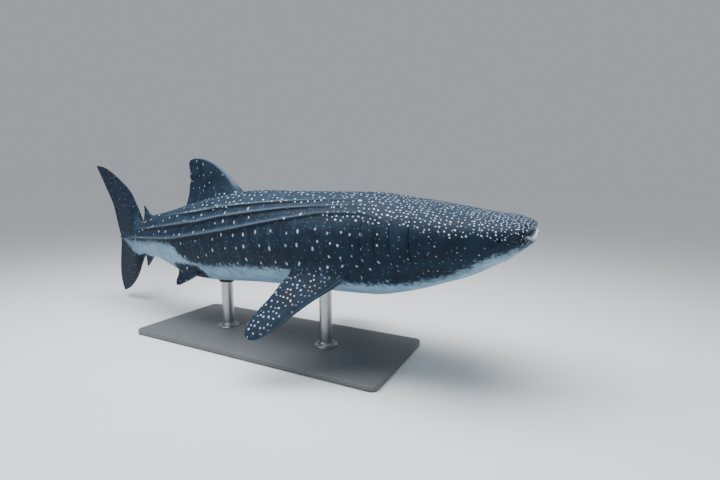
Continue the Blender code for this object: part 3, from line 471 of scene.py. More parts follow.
def lip(along, upper):
    """Places on the lips: along is 0 at the middle of the snout and 1 at the corner."""
    turn = along * math.pi / 2
    cosine = np.clip(np.cos(turn), 0.0, 1.0)
    y = MOUTH_HALF_WIDTH * np.sin(turn) ** MOUTH_WIDE_POWER
    s = MOUTH_SETBACK * (1.0 - cosine**MOUTH_FRONT_POWER)
    middle = np.where(upper, UPPER_LIP_HEIGHT, LOWER_LIP_HEIGHT)
    arch = np.clip(np.sin(turn * 2.0), 0.0, 1.0) ** 1.5 * np.where(upper, UPPER_ARCH, -LOWER_ARCH)
    z = mix(middle, MOUTH_CORNER_HEIGHT, along**5) + arch
    lead = np.where(upper, SNOUT_SET, JAW_SET)
    return s + mix(lead, JAW_SET, along**2), y, z


UPPER_HALF = FINE_COLUMNS <= MOUTH_COLUMN
ALONG = np.where(UPPER_HALF, FINE_COLUMNS / MOUTH_COLUMN, (SIDE - FINE_COLUMNS) / (SIDE - MOUTH_COLUMN))


def cap_grid(steps, end):
    """Places down the left side of the snout, step 0 being the edge of the lips."""
    start = np.stack(lip(ALONG, UPPER_HALF), axis=-1)
    square = mix(np.where(UPPER_HALF, UPPER_SQUARE, CHIN_SQUARE), CORNER_SQUARE, ALONG)
    rows = []
    for step in steps:
        turn = (step / CAP_STEPS) ** 1.25 * math.pi / 2
        run = 1.0 - math.cos(turn) ** (2 / square)
        rise = math.sin(turn) ** (2 / square)
        roll = float(smooth_curve(list(enumerate(LIP_ROLL)), step))
        roll = roll * np.where(UPPER_HALF, UPPER_ROLL, 1.0) * (1.0 - ALONG**6)
        rows.append(
            np.stack(
                [
                    mix(start[:, 0], end[:, 0], run) - roll,
                    mix(start[:, 1], end[:, 1], rise) + SIDE_ROLL * roll * ALONG**2,
                    mix(start[:, 2], end[:, 2], rise),
                ],
                axis=-1,
            )
        )
    return np.array(rows)


def mouth_grid(shares):
    """Places down the left side of the inside of the mouth, from the lips to the throat."""
    lip_s, lip_y, lip_z = lip(ALONG, UPPER_HALF)
    rows = []
    for share in shares:
        s = mix(lip_s, MOUTH_BACK, share)
        y = lip_y * mix(1.0, MOUTH_TAPER, share) * mix(1.0, THROAT_TAPER, ease(share, 0.75, 1.0))
        deep = np.maximum(THROAT_OPEN, 1.0 - ease(s, MOUTH_NARROWS, MOUTH_DEPTH))
        hollow = MOUTH_HOLLOW * deep * (1.0 - ALONG**2.5) * np.where(UPPER_HALF, 1.0, -1.0)
        jaw = smooth_curve(JAW_LINE, s)
        level = mix(MOUTH_CORNER_HEIGHT, jaw, ease(s, MOUTH_SETBACK, CAP_STATION))
        z = mix(lip_z, level + hollow, ease(s - lip_s, -LIP_EDGE, MOUTH_RISE))
        rows.append(np.stack([s, y, z], axis=-1))
    return np.array(rows)


def edge_line(keys, share):
    """Points at shares of a smooth line through (s, z) keys, with its kinks rounded inwards."""
    last = len(keys) - 1
    at = np.asarray(share, float) * last
    apart = np.minimum(EDGE_ROUNDING, np.minimum(at, last - at))
    found = []
    for axis in (0, 1):
        curve = [(k, key[axis]) for k, key in enumerate(keys)]
        middle = smooth_curve(curve, at)
        sides = smooth_curve(curve, at - apart) + smooth_curve(curve, at + apart)
        found.append(0.5 * middle + 0.25 * sides)
    return found


def caudal_grid(shares, stalk):
    """Places down the left side of the tail fin, share 0 being the stalk and 1 the rear edge."""
    middle = RIDGE_COLUMNS[2]
    keel_z = stalk[middle * FINE, 2]
    upper = FINE_COLUMNS <= middle
    across = np.where(upper, FINE_COLUMNS / middle, (SIDE - FINE_COLUMNS) / (SIDE - middle))
    rear_upper = edge_line(CAUDAL_UPPER_TRAIL, 1.0 - across)
    rear_lower = edge_line(CAUDAL_LOWER_TRAIL, 1.0 - across)
    rows = []
    for share in shares:
        lead_upper = edge_line(CAUDAL_UPPER_LEAD, share)
        lead_lower = edge_line(CAUDAL_LOWER_LEAD, share)
        spot = []
        for axis, column in ((0, 0), (1, 2)):
            start = stalk[:, column]
            core = mix((stalk[:, 0], keel_z)[axis], FORK[axis], share)
            lead = np.where(upper, lead_upper[axis], lead_lower[axis])
            rear = np.where(upper, rear_upper[axis], rear_lower[axis])
            tip = np.where(upper, CAUDAL_UPPER_LEAD[-1][axis], CAUDAL_LOWER_LEAD[-1][axis])
            edge = np.where(upper, CAUDAL_UPPER_LEAD[0][axis], CAUDAL_LOWER_LEAD[0][axis])
            ruled = mix(lead, core, across) + mix(start, rear, share)
            middle_start = (stalk[:, 0], keel_z)[axis]
            corners = mix(mix(edge, middle_start, across), mix(tip, FORK[axis], across), share)
            spot.append(ruled - corners)
        rim = np.minimum(1.0, across * CAUDAL_RIM)
        thin = (1.0 - share) ** 0.6 * mix(1.0, CAUDAL_REAR_THICK, share)
        plate = 0.5 * CAUDAL_THICK * np.sqrt(rim) * thin
        keel = mix((1.0 - share) ** 1.5, 1.0 - share**1.8, crest_weight(FINE_COLUMNS - middle))
        half = stalk[:, 1] * keel + plate * (1.0 - (1.0 - share) ** 3)
        edge_half = 0.5 * FIN_EDGE * min(1.0, 4.0 * share + CAUDAL_EDGE_START)
        half = np.maximum(half, edge_half * np.sqrt(np.minimum(1.0, across * 12.0)))
        rows.append(np.stack([spot[0], half, spot[1]], axis=-1))
    return np.array(rows)


def body_rings():
    """Station, backward shift and gill height of every ring behind the snout, and pocket marks."""
    rings = []
    ends = [start for start, _ in RING_STEPS[1:]] + [STALK_END]
    roots = (*PECTORAL_ROOT, *DORSAL_FIRST_ROOT, *PELVIC_ROOT, *DORSAL_SECOND_ROOT, *ANAL_ROOT)
    for (start, step), end in zip(RING_STEPS, ends):
        marks = sorted([start, end, *[r for r in roots if start < r < end]])
        for a, b in zip(marks, marks[1:]):
            count = max(1, round((b - a) / step))
            rings += [(mix(a, b, k / count), 0.0, None, 0.0) for k in range(count)]
    rings.append((STALK_END, 0.0, None, 0.0))
    before, after = GILL_CLEAR
    rings = [r for r in rings if not any(g - before < r[0] < g + after for g in GILL_STATIONS)]
    for slit in GILL_STATIONS:
        for offset, shift, height in GILL_PROFILE:
            pocket = 1.0 if GILL_POCKET[0] < offset < GILL_POCKET[1] else 0.0
            rings.append((slit + offset, shift, height, pocket))
    rings.sort(key=lambda ring: ring[0])
    full = []
    for s, shift, height, pocket in rings:
        full.append((s, shift, gill_rise(s) if height is None else height, pocket))
    return [np.array(column) for column in zip(*full)]


def gill_rise(s):
    """Height of the flaps between the slits: each rises towards its free rear edge."""
    before = GILL_STATIONS[0] - GILL_LEAD
    if s <= before:
        return 0.0
    low = 0.0
    for slit in GILL_STATIONS:
        if s <= slit:
            return mix(low, GILL_STEP, ((s - before) / (slit - before)) ** 1.5)
        before = slit
        low = -GILL_SINK
    return -GILL_SINK * (1.0 - float(ease(s, before, before + GILL_LEAD)))


def whole_loop(line):
    """Closed loop of places from left lines: down the left side, then up the right."""
    right = line[..., -2:0:-1, :] * np.array([1.0, -1.0, 1.0])
    return np.concatenate([line, right], axis=-2)


def whole_row(values):
    """The same mirroring for a value at each column."""
    return np.concatenate([values, values[..., -2:0:-1]], axis=-1)


class Hide:
    """Points, faces and marks of the whole skin, gathered row by row."""

    # Marks that the material reads by name, then those that only make the mesh or choose a pattern
    PAINTED = ("belly", "lip_rim", "pocket", "lining", "spots", "down", "crest", "under", "paler", "bare")
    MARKS = (*PAINTED, "soften", "fin")

    def __init__(self):
        self.points = []
        self.marks = {name: [] for name in self.MARKS}
        self.around = []
        self.along = []
        self.faces = []
        self.count = 0

    def add(self, where, along, around, **marks):
        """Adds points with their pattern places and marks, and returns their numbers."""
        first = self.count
        self.count += len(where)
        self.points.append(np.asarray(where, float))
        self.along.append(np.broadcast_to(along, len(where)))
        self.around.append(np.broadcast_to(around, len(where)))
        for name in self.MARKS:
            self.marks[name].append(np.broadcast_to(marks.get(name, 0.0), len(where)))
        return np.arange(first, self.count)

    def add_ring(self, grid, along, around, **marks):
        """Adds a ring from its left line and the values down it, mirrored to the right side."""
        marks = {name: whole_row(np.broadcast_to(row, len(grid))) for name, row in marks.items()}
        along = whole_row(np.broadcast_to(along, len(grid)))
        return self.add(whole_loop(grid), along, signed_row(around), **marks)

    def strip(self, a, b, keep=None):
        """Faces between two closed rows of the same length."""
        quads = np.stack([a, np.roll(a, -1), np.roll(b, -1), b], axis=-1)
        self.faces += (quads if keep is None else quads[keep]).tolist()

    def ladder(self, row, offset=0):
        """Closes a row whose point k has its partner at offset - k."""
        count = len(row)
        start = offset // 2
        for k in range(count // 2):
            a, b = row[(start + k) % count], row[(start + k + 1) % count]
            c, d = row[(start - k - 1) % count], row[(start - k) % count]
            corners = [a, b]
            if c != b:
                corners.append(c)
            if d != a:
                corners.append(d)
            self.faces.append([int(corner) for corner in corners])


def arc_lengths(grid):
    """Distance in metres down each left line from the back."""
    steps = np.linalg.norm(np.diff(grid, axis=-2), axis=-1) * UNIT
    return np.concatenate([np.zeros(steps.shape[:-1] + (1,)), np.cumsum(steps, axis=-1)], axis=-1)


def signed_row(values):
    """Left distances with their right side counterparts, which are negative."""
    return np.concatenate([values, -values[..., -2:0:-1]], axis=-1)


def belly_depth(spots):
    """Metres below the border of the pale belly."""
    return (smooth_curve(BELLY_LINE, spots[..., 0]) - spots[..., 2]) * UNIT


# Crowding of a fin's sections towards its tip
TIP_CROWDING = 1.25
# Waves of wear along a fin's rear edge: depth, waves and shift
WEAR = ((0.05, 7.3, 1.0), (0.035, 17.0, 0.0), (0.02, 31.0, 0.0))
FILLET_ROWS = 5
# Shares of the chord over which a fin's front carries a painted highlight, is wrapped in dark skin
# and is bare of spots, and from which its rear edge is dark again
NOSE_HIGHLIGHT = 0.06
NOSE_DARK = 0.09
NOSE_BARE = 0.05
REAR_DARK = 0.97
# Shares of the chord over which the spots grow to their full strength behind a plain front
PLAIN_FRONT = (0.1, 0.42)


def spread(stations, count, round_from):
    """Shares of a fin's length, closer towards its tip, with the leading and trailing points there.

    Beyond the share round_from both edges draw together, which rounds the tip.
    """
    at = 1.0 - (1.0 - np.linspace(0.0, 1.0, count)) ** TIP_CROWDING
    lead, trail = (np.stack(edge_line([row[k] for row in stations], at), axis=-1) for k in (0, 1))
    into = np.clip((at - round_from) / max(1.0 - round_from, 1e-6), 0.0, 1.0)
    drawn = 0.5 * (1.0 - np.sqrt(1.0 - 0.95 * into**2.5))[:, None]
    return at, mix(lead, trail, drawn), mix(trail, lead, drawn)


def foil_rows(lead, trail, thick, across, steps):
    """Closed loops round the fin's sections: front edge, one face, rear edge, other face."""
    shares = mix(FIN_FRONT, FIN_REAR, (np.arange(steps + 1) / steps) ** 1.2)
    front = np.linspace(-90.0, 90.0, 2 * FINE + 1)[:-1]
    front_share = FIN_FRONT * (1.0 - np.cos(np.radians(front)))
    rear_share = FIN_REAR + (1.0 - FIN_REAR) * np.cos(np.radians(front))
    rows = []
    for a, b, full in zip(lead, trail, thick):
        halves = np.maximum(0.5 * FIN_EDGE, full * foil_half(shares))
        nose = np.sin(np.radians(front)) * halves[0]
        tail = -np.sin(np.radians(front)) * halves[-1]
        share = np.concatenate([front_share, shares[:-1], rear_share, shares[:0:-1]])
        half = np.concatenate([nose, halves[:-1], tail, -halves[:0:-1]])
        rows.append(a + (b - a) * share[:, None] + np.array(across) * half[:, None])
    return np.array(rows)


def ragged(away, chord, notches):
    """Small bites out of a fin's rear edge, as steps forward in hundredths of the length."""
    worn = sum(depth * np.sin(away * waves + shift) for depth, waves, shift in WEAR)
    worn = np.clip(worn, 0.0, None)
    for centre, width, depth in notches:
        worn = worn + depth * np.clip(1.0 - ((away - centre) / width) ** 2, 0.0, 1.0) ** 1.5
    return np.minimum(worn, chord * 0.2)


def attach_fin(hide, loop, sections, marks):
    """Grows a fin from a hole's rim: fillet rows, then its sections, then a closed tip."""
    half = FINE
    root, along, around, root_belly, root_down = (
        np.concatenate(parts)[loop]
        for parts in (hide.points, hide.along, hide.around, hide.marks["belly"], hide.marks["down"])
    )
    steps = (len(loop) - 4 * half) // 2
    offset = np.concatenate(
        [
            np.arange(-half, half),
            np.full(steps, half),
            np.arange(half, -half, -1),
            np.full(steps, -half),
        ]
    )
    direction = -offset / half
    chord = mix(FIN_FRONT, FIN_REAR, (np.arange(steps) / steps) ** 1.2)
    chord = np.concatenate([np.zeros(2 * half), chord, np.ones(2 * half), chord[::-1]])
    # The front of a fin is painted paler, as a highlight along its leading edge
    paler = marks["front_highlight"] * (1.0 - ease(chord, 0.0, NOSE_HIGHLIGHT))
    spotted = marks["spots"] * mix(marks["front_spots"], 1.0, ease(chord, *PLAIN_FRONT))
    spotted = spotted * ease(chord, 0.0, NOSE_BARE)
    face_belly = np.where(offset > 0, marks["below"], marks["above"])
    face_belly = np.where((chord > NOSE_DARK) & (chord < REAR_DARK), face_belly, DARK)
    rows = [mix(root, sections[0], (k + 1) / (FILLET_ROWS + 1)) for k in range(FILLET_ROWS)]
    rows += list(sections)
    previous, last = loop, root
    travelled = np.zeros(len(loop))
    for number, row in enumerate(rows):
        travelled = travelled + np.linalg.norm((row - last)[:, 1:], axis=-1) * UNIT
        share = float(ease(number, 0.0, 2.0 * FILLET_ROWS))
        near_tip = float(ease(number / len(rows), 0.75, 1.0))
        root_gap = marks["root_gap"] * 4.0 * share * (1.0 - share)
        numbers = hide.add(
            row,
            mix(along, row[:, 0] * UNIT, share),
            around + direction * travelled,
            belly=mix(root_belly, face_belly, share),
            spots=mix(1.0, spotted * (1.0 - 0.5 * near_tip), share) * (1.0 - root_gap),
            bare=share * marks["bare"],
            paler=paler * share,
            down=root_down,
            soften=1.0 - float(ease(number, FILLET_ROWS, 2.0 * FILLET_ROWS)),
            fin=share,
        )
        hide.strip(previous, numbers)
        previous, last = numbers, row
    hide.ladder(previous, 2 * half)


def hole_loop(rings, first, last, centre):
    """Rim of a hole in the body between two rings, around a column; same order as a section."""
    half = FINE
    left, right = (centre - half) % AROUND, (centre + half) % AROUND
    columns = [(centre + k) % AROUND for k in range(-half, half)]
    loop = [rings[first][c] for c in columns]
    loop += [rings[n][right] for n in range(first, last)]
    loop += [rings[last][(centre + k) % AROUND] for k in range(half, -half, -1)]
    loop += [rings[n][left] for n in range(last, first, -1)]
    return np.array(loop)


def root_thicker(at, source_rows):
    """Thickening of a fin at shares of its length; its solid has source_rows sections."""
    return 1.0 + ROOT_THICKER * (1.0 - ease(at * (source_rows - 1), 0.0, ROOT_THICKER_ROWS))


def upright_sections(stations, steps, thick, counts, across, notches=()):
    """Sections of a fin that stands in the middle plane."""
    count, source_rows = counts
    at, lead, trail = spread(stations, count, 1.0)
    trail[:, 0] -= ragged(trail[:, 1], trail[:, 0] - lead[:, 0], notches)
    full = thick * np.abs(trail[:, 0] - lead[:, 0]) * root_thicker(at, source_rows)
    flat = [np.stack([edge[:, 0], edge[:, 0] * 0.0, edge[:, 1]], axis=-1) for edge in (lead, trail)]
    return foil_rows(*flat, full, (0.0, across, 0.0), steps)


def paired_sections(stations, steps, origin, droop, thick, counts, round_from):
    """Sections of the left paired fin, which leaves the flank outwards and down."""
    count, source_rows = counts
    lean = math.radians(droop)
    at, lead, trail = spread(stations, count, round_from)
    trail[:, 0] -= ragged(trail[:, 1], trail[:, 0] - lead[:, 0], ())
    full = thick * np.linalg.norm(trail - lead, axis=-1) * root_thicker(at, source_rows)
    flat = []
    for edge in (lead, trail):
        out = origin[1] + edge[:, 1] * math.cos(lean)
        down = origin[2] - edge[:, 1] * math.sin(lean)
        flat.append(np.stack([origin[0] + edge[:, 0], out, down], axis=-1))
    return foil_rows(*flat, full, (0.0, -math.sin(lean), -math.cos(lean)), steps)


def mirrored_sections(sections):
    """The right fin's sections, in the order of the right side's hole."""
    flipped = sections * np.array([1.0, -1.0, 1.0])
    count = sections.shape[1]
    order = [(2 * FINE - k) % count for k in range(count)]
    return flipped[:, order]


# Rings behind the lips whose rim is pale and whose points are softened, and how pale the rim of
# the upper lip is
LIP_RIM_RINGS = 21
LIP_SOFT_RINGS = 10
UPPER_RIM = 0.12
# How much of that paleness is gone at the corner of the mouth
CORNER_FADE = 0.75
# Stations over which the ridges' painted highlight and shade come in, and the rise that has them in full
RIDGES_MARKED = (20.0, 36.0)
RIDGE_FULL = 0.3
# Stations from which the stalk loses the body's pattern and is softened, and rings of the tail fin
# over which its own pattern places, its softening and its fin spots take over
STALK_BARE = 70.0
STALK_SOFT = 77.0
TAIL_ROOT_RINGS = 6
TAIL_SPOT_RINGS = 4
TAIL_SPOTS = 0.3
# Notches in the first dorsal fin's rear edge: height, half width and depth
DORSAL_NOTCHES = ((11.35, 0.55, 0.45), (13.1, 0.3, 0.12))
# Share of the pectoral fin's length from which its tip is rounded
PECTORAL_ROUND = 0.88
# Paint of a fin: its upper and lower face, its spots, the choice of the sparse pattern, its painted
# highlight along the front, how many spots reach the front, and how far the spots thin out round its root
UPRIGHT_MARKS = {
    "above": DARK,
    "below": DARK,
    "spots": 0.6,
    "bare": 1.0,
    "front_highlight": 0.7,
    "front_spots": 1.0,
    "root_gap": 0.9,
}
PECTORAL_MARKS = {
    "above": DARK,
    "below": PALE,
    "spots": 1.0,
    "bare": 0.0,
    "front_highlight": 0.2,
    "front_spots": 0.2,
    "root_gap": 0.3,
}


def ridge_marks(base):
    """Painted highlight on the ridges' crests and painted shade under them, at each ring and column."""
    crests, unders = 0.0, 0.0
    for crest, rise in zip(RIDGE_COLUMNS, RIDGE_RISE):
        offset = FINE_COLUMNS - crest
        below = offset > 0.01
        strength = np.minimum(1.0, smooth_curve(rise, base) / RIDGE_FULL) * ease(base, *RIDGES_MARKED)
        strength = strength[:, None]
        crests = crests + strength * np.where(below, 0.0, np.clip(1.0 + offset, 0.0, 1.0) ** 3)
        unders = unders + strength * np.where(below, np.clip(1.2 - offset, 0.0, 1.0), 0.0)
    return crests, unders


def build_hide():
    """The whole skin with its marks, and the numbers of the points in its front and body rings."""
    base, shift, relief, pocket = body_rings()
    body, window = side_grid(base, shift, relief)
    cap = cap_grid(np.arange(CAP_RINGS) * CAP_STEPS / CAP_RINGS, body[0])
    mouth = mouth_grid(((np.arange(MOUTH_RINGS) + 1) / MOUTH_RINGS) ** MOUTH_CROWDING)[::-1]
    tail = caudal_grid((np.arange(CAUDAL_RINGS) + 1) / CAUDAL_RINGS, body[-1])
    off_keel = 1.0 - crest_weight(FINE_COLUMNS - RIDGE_COLUMNS[2])
    # The pattern places of the two sides meet under the belly, so its middle stays free of spots
    clear_middle = np.clip(COLUMNS - 1.0 - np.arange(COLUMNS + 1), 0.0, 1.0)

    hide = Hide()
    rings = []
    for grid in mouth:
        loop = whole_loop(grid)
        rings.append(hide.add(loop, loop[:, 0] * UNIT, 0.0, lining=1.0, belly=-1.0))
    first_cap = len(rings)
    run = np.linalg.norm(np.diff(np.concatenate([cap, body[:1]]), axis=0), axis=-1) * UNIT
    behind = CAP_STATION * UNIT - np.cumsum(run[::-1], axis=0)[::-1]
    rim = np.where(UPPER_HALF, UPPER_RIM, 1.0)
    for number, grid in enumerate(cap):
        near_lip = float(ease(1.0 - number / LIP_RIM_RINGS, 0.0, 0.6))
        rings.append(
            hide.add_ring(
                grid,
                behind[number],
                arc_lengths(grid),
                belly=belly_depth(grid),
                lip_rim=rim * near_lip * (1.0 - CORNER_FADE * ALONG**2),
                lining=1.0 if number == 0 else 0.0,
                spots=clear_middle,
                down=arc_lengths(grid),
                soften=max(0.0, 1.0 - number / LIP_SOFT_RINGS),
            )
        )
    first_body = len(rings)
    crests, unders = ridge_marks(base)
    before, after = GILL_PLAIN
    for number, grid in enumerate(body):
        station = base[number]
        at_slit = float(any(before < station - slit < after for slit in GILL_STATIONS))
        rings.append(
            hide.add_ring(
                grid,
                station * UNIT,
                arc_lengths(grid),
                belly=belly_depth(grid),
                pocket=window[number] * pocket[number],
                spots=clear_middle * (1.0 - at_slit * window[number]),
                down=arc_lengths(grid),
                crest=crests[number],
                under=unders[number],
                bare=float(ease(station, STALK_BARE, STALK_END)),
                soften=float(ease(station, STALK_SOFT, STALK_END)) * off_keel,
            )
        )
    first_tail = len(rings)
    for number, grid in enumerate(tail):
        wedge = (grid[:, 2] - np.interp(grid[:, 0], *TAIL_WEDGE)) * UNIT
        below_back = (body[-1][0, 2] - grid[:, 2]) * UNIT
        rings.append(
            hide.add_ring(
                grid,
                grid[:, 0] * UNIT,
                mix(arc_lengths(grid), below_back, float(ease(number, 0, TAIL_ROOT_RINGS))),
                belly=np.minimum(belly_depth(grid), wedge),
                spots=TAIL_SPOTS,
                bare=1.0,
                soften=max(0.0, 1.0 - number / TAIL_ROOT_RINGS) * off_keel,
                fin=float(ease(number, 0, TAIL_SPOT_RINGS)),
            )
        )

    def ring_at(station):
        return first_body + int(np.argmin(np.abs(base - station)))

    holes = []
    for station, centre, sections_of, marks in fin_plan():
        first, last = ring_at(station[0]), ring_at(station[1])
        holes.append((first, last, centre))
        loop = hole_loop(rings, first, last, centre)
        attach_fin(hide, loop, sections_of(last - first), marks)
    for number in range(len(rings) - 1):
        keep = np.ones(AROUND, bool)
        for first, last, centre in holes:
            if first <= number < last:
                keep[[(centre + k) % AROUND for k in range(-FINE, FINE)]] = False
        hide.strip(rings[number], rings[number + 1], keep)
    hide.ladder(rings[0])
    hide.ladder(rings[-1])
    layout = {"cap": rings[first_cap:first_body], "body": rings[first_body:first_tail]}
    return hide, layout


def fin_plan():
    """Root stations, centre column, sections and marks of each fin.

    The two counts of a fin are its sections here and in the solids.
    """
    swapped = {**PECTORAL_MARKS, "above": PALE, "below": DARK}

    def standing(stations, *shape):
        return lambda steps: upright_sections(stations, steps, *shape)

    def paired(mirror, stations, *shape):
        def sections(steps):
            made = paired_sections(stations, steps, *shape)
            return mirrored_sections(made) if mirror else made

        return sections

    dorsal = standing(DORSAL_FIRST, DORSAL_FIRST_THICK, (36, 10), 1.0, DORSAL_NOTCHES)
    second = standing(DORSAL_SECOND, SMALL_FIN_THICK, (16, 8), 1.0)
    anal = standing(ANAL_FIN, SMALL_FIN_THICK, (16, 8), -1.0)
    pectorals = (PECTORAL, PECTORAL_ORIGIN, PECTORAL_DROOP, PECTORAL_THICK, (42, 10), PECTORAL_ROUND)
    pelvics = (PELVIC, PELVIC_ORIGIN, PELVIC_DROOP, PELVIC_THICK, (16, 6), 1.0)
    breast, vent = PECTORAL_COLUMN * FINE, PELVIC_COLUMN * FINE
    return (
        (DORSAL_FIRST_ROOT, 0, dorsal, UPRIGHT_MARKS),
        (DORSAL_SECOND_ROOT, 0, second, UPRIGHT_MARKS),
        (ANAL_ROOT, COLUMNS, anal, UPRIGHT_MARKS),
        (PECTORAL_ROOT, breast, paired(False, *pectorals), PECTORAL_MARKS),
        (PECTORAL_ROOT, AROUND - breast, paired(True, *pectorals), swapped),
        (PELVIC_ROOT, vent, paired(False, *pelvics), UPRIGHT_MARKS),
        (PELVIC_ROOT, AROUND - vent, paired(True, *pelvics), UPRIGHT_MARKS),
    )


def relax(points, edges, weight, rounds):
    """Draws each point towards the middle of its neighbours, by its weight."""
    a, b = edges[:, 0], edges[:, 1]
    ends = np.concatenate([a, b])
    others = np.concatenate([b, a])
    degree = np.bincount(ends, minlength=len(points)).astype(float)
    for _ in range(rounds):
        middle = np.stack(
            [np.bincount(ends, points[others, axis], len(points)) for axis in range(3)],
            axis=-1,
        )
        points = points + (middle / degree[:, None] - points) * (0.5 * weight)[:, None]
    return points


def link(name, data):
    """A new object in the scene."""
    thing = bpy.data.objects.new(name, data)
    bpy.context.scene.collection.objects.link(thing)
    return thing


def write_mesh(name, points, faces, finish):
    """Smooth mesh of one material, with its faces turned outwards."""
    mesh = bpy.data.meshes.new(name)
    mesh.from_pydata(np.asarray(points).tolist(), [], faces)
    work = bmesh.new()
    work.from_mesh(mesh)
    bmesh.ops.recalc_face_normals(work, faces=work.faces[:])
    if work.calc_volume(signed=True) < 0.0:
        bmesh.ops.reverse_faces(work, faces=work.faces[:])
    work.to_mesh(mesh)
    work.free()
    mesh.shade_smooth()
    mesh.materials.append(finish)
    return mesh


def settle(name, mesh, slot, *nodes):
    """Puts a finished mesh in the scene as a piece, in place of the CAD nodes it stands for."""
    piece = link(name, mesh)
    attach(piece, "root")
    if nodes:
        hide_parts(*nodes)


def band(first, second, count):
    """Faces between two closed loops of count points, numbered from first and from second."""
    return [
        (first + k, second + k, second + (k + 1) % count, first + (k + 1) % count)
        for k in range(count)
    ]


def closed_tube(loops, count):
    """Faces of a ring of loops, each of count points, whose last loop meets its first."""
    return [face for k in range(loops) for face in band(k * count, (k + 1) % loops * count, count)]


# Small features of the head: station and height, half length, half height and rise in metres
HEAD_FEATURES = (
    (NASAL_FLAP, 0.030, 0.023, 0.009),
    (NOSTRIL, 0.022, 0.013, -0.014),
    (SPIRACLE, 0.017, 0.021, -0.014),
)
# Rim of a hole among them: place and width as shares of the hole's size, and height in metres
HOLE_RIM = (1.15, 0.3, 0.0025)
# Skin round an eye: distance from its centre, width and height of the roll and of the bed round
# it, and reach of the brow painted dark as shade and without spots, in metres
EYE_ROLL = (0.047, 0.010, 0.003)
EYE_BED = (0.060, 0.012, -0.003)
EYE_BROW = 0.060
BROW_SHADE = 0.75
# Rings searched for the features, behind the lips and on the body, and what keeps off the far side
HEAD_RINGS = (2, 30)
FAR_OFF = 1e6


def nearest_on_head(places, layout, station, height, side):
    """Number of the skin point nearest to a station and height on one side of the head."""
    numbers = np.concatenate(layout["cap"][HEAD_RINGS[0] :] + layout["body"][: HEAD_RINGS[1]])
    here = places[numbers]
    sided = here[:, 1] * side > 1.0
    far = (here[:, 0] - station) ** 2 + (here[:, 2] - height) ** 2 + np.where(sided, 0.0, FAR_OFF)
    return int(numbers[np.argmin(far)])


def eye_centre(side):
    """Middle of the solid eye of one side."""
    low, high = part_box("eye_" + side)
    return (low + high) / 2


def hump(far, centre, width, height):
    """Rounded rise at a distance, falling off on both sides."""
    return height * np.exp(-(((far - centre) / width) ** 2))


def dress_hide(mesh, places, layout, marks):
    """Raises and sinks the small features of the head on the finished skin."""
    points, normals = np.empty((2, len(mesh.vertices) * 3))
    mesh.vertices.foreach_get("co", points)
    mesh.vertex_normals.foreach_get("vector", normals)
    points, normals = points.reshape(-1, 3), normals.reshape(-1, 3)
    moved = points.copy()
    for side_name, side in (("left", 1.0), ("right", -1.0)):
        for (station, height), half_long, half_high, rise in HEAD_FEATURES:
            centre = points[nearest_on_head(places, layout, station, height, side)]
            flat = (points - centre) / np.array([half_long, half_long, half_high])
            far = np.linalg.norm(flat, axis=-1)
            inside = np.clip(1.0 - far**2, 0.0, 1.0) ** (0.85 if rise > 0.0 else 1.3)
            moved += normals * (inside * rise)[:, None]
            if rise < 0.0:
                moved += normals * hump(far, *HOLE_RIM)[:, None]
                # The hole is painted dark, as shade inside it
                marks["pocket"] = np.maximum(marks["pocket"], inside**0.5)
        far = np.linalg.norm(points - np.array(eye_centre(side_name)), axis=-1)
        moved += normals * (hump(far, *EYE_ROLL) + hump(far, *EYE_BED))[:, None]
        # Painted shade round the eye: darker and free of spots within the brow's reach
        brow = np.clip(1.0 - (far / EYE_BROW) ** 2, 0.0, 1.0)
        marks["spots"] = marks["spots"] * (1.0 - ease(brow, 0.3, 0.6))
        marks["pocket"] = np.maximum(marks["pocket"], BROW_SHADE * ease(brow, 0.0, 0.75))
    mesh.vertices.foreach_set("co", moved.ravel())
    mesh.update()


# Dark collar round a pelvic fin's root: stations that it may reach, its middle line's place to the
# side and height, its reach in metres and how fast it fades
COLLAR_STATIONS = (53.0, 64.0)
COLLAR_LINE = (3.0, -5.3)
COLLAR_REACH = 0.12
COLLAR_FADE = 1.5


def darken_roots(points, places, marks):
    """Dark collar round the roots of the pelvic fins, in the pale belly."""
    first, last = COLLAR_STATIONS
    near = np.flatnonzero((places[:, 0] > first) & (places[:, 0] < last) & (marks["fin"] < 0.5))
    for side in (1.0, -1.0):
        line = [(s, side * COLLAR_LINE[0], COLLAR_LINE[1]) for s in np.linspace(*PELVIC_ROOT, 25)]
        away = points[near][:, None, :] - place(line)[None]
        far = np.linalg.norm(away, axis=-1).min(axis=1)
        collar = (far - COLLAR_REACH) * COLLAR_FADE
        marks["belly"][near] = np.minimum(marks["belly"][near], collar)


def put_marks(mesh, along, around, marks):
    """Writes the pattern places and the marks as the mesh's own attributes."""
    spot = mesh.attributes.new("hide_place", "FLOAT_VECTOR", "POINT")
    values = np.stack([along, around, marks["fin"]], axis=-1).astype(np.float32)
    spot.data.foreach_set("vector", values.ravel())
    for name in Hide.PAINTED:
        attribute = mesh.attributes.new(name, "FLOAT", "POINT")
        attribute.data.foreach_set("value", marks[name].astype(np.float32))


# Materials: each is named for the real one, and its first line says what that gives the eye
def colour(code):
    """Linear colour from an sRGB hex code."""
    parts = [int(code[k : k + 2], 16) / 255.0 for k in (1, 3, 5)]
    linear = [c / 12.92 if c <= 0.04045 else ((c + 0.055) / 1.055) ** 2.4 for c in parts]
    return (*linear, 1.0)


def put(tree, kind, inputs=None, out=0, **settings):
    """Adds a node with its settings and inputs, and returns one of its outputs."""
    node = tree.nodes.new(kind)
    for name, value in settings.items():
        setattr(node, name, value)
    for name, value in (inputs or {}).items():
        if isinstance(value, bpy.types.NodeSocket):
            tree.links.new(value, node.inputs[name])
        else:
            node.inputs[name].default_value = value
    return node.outputs[out]


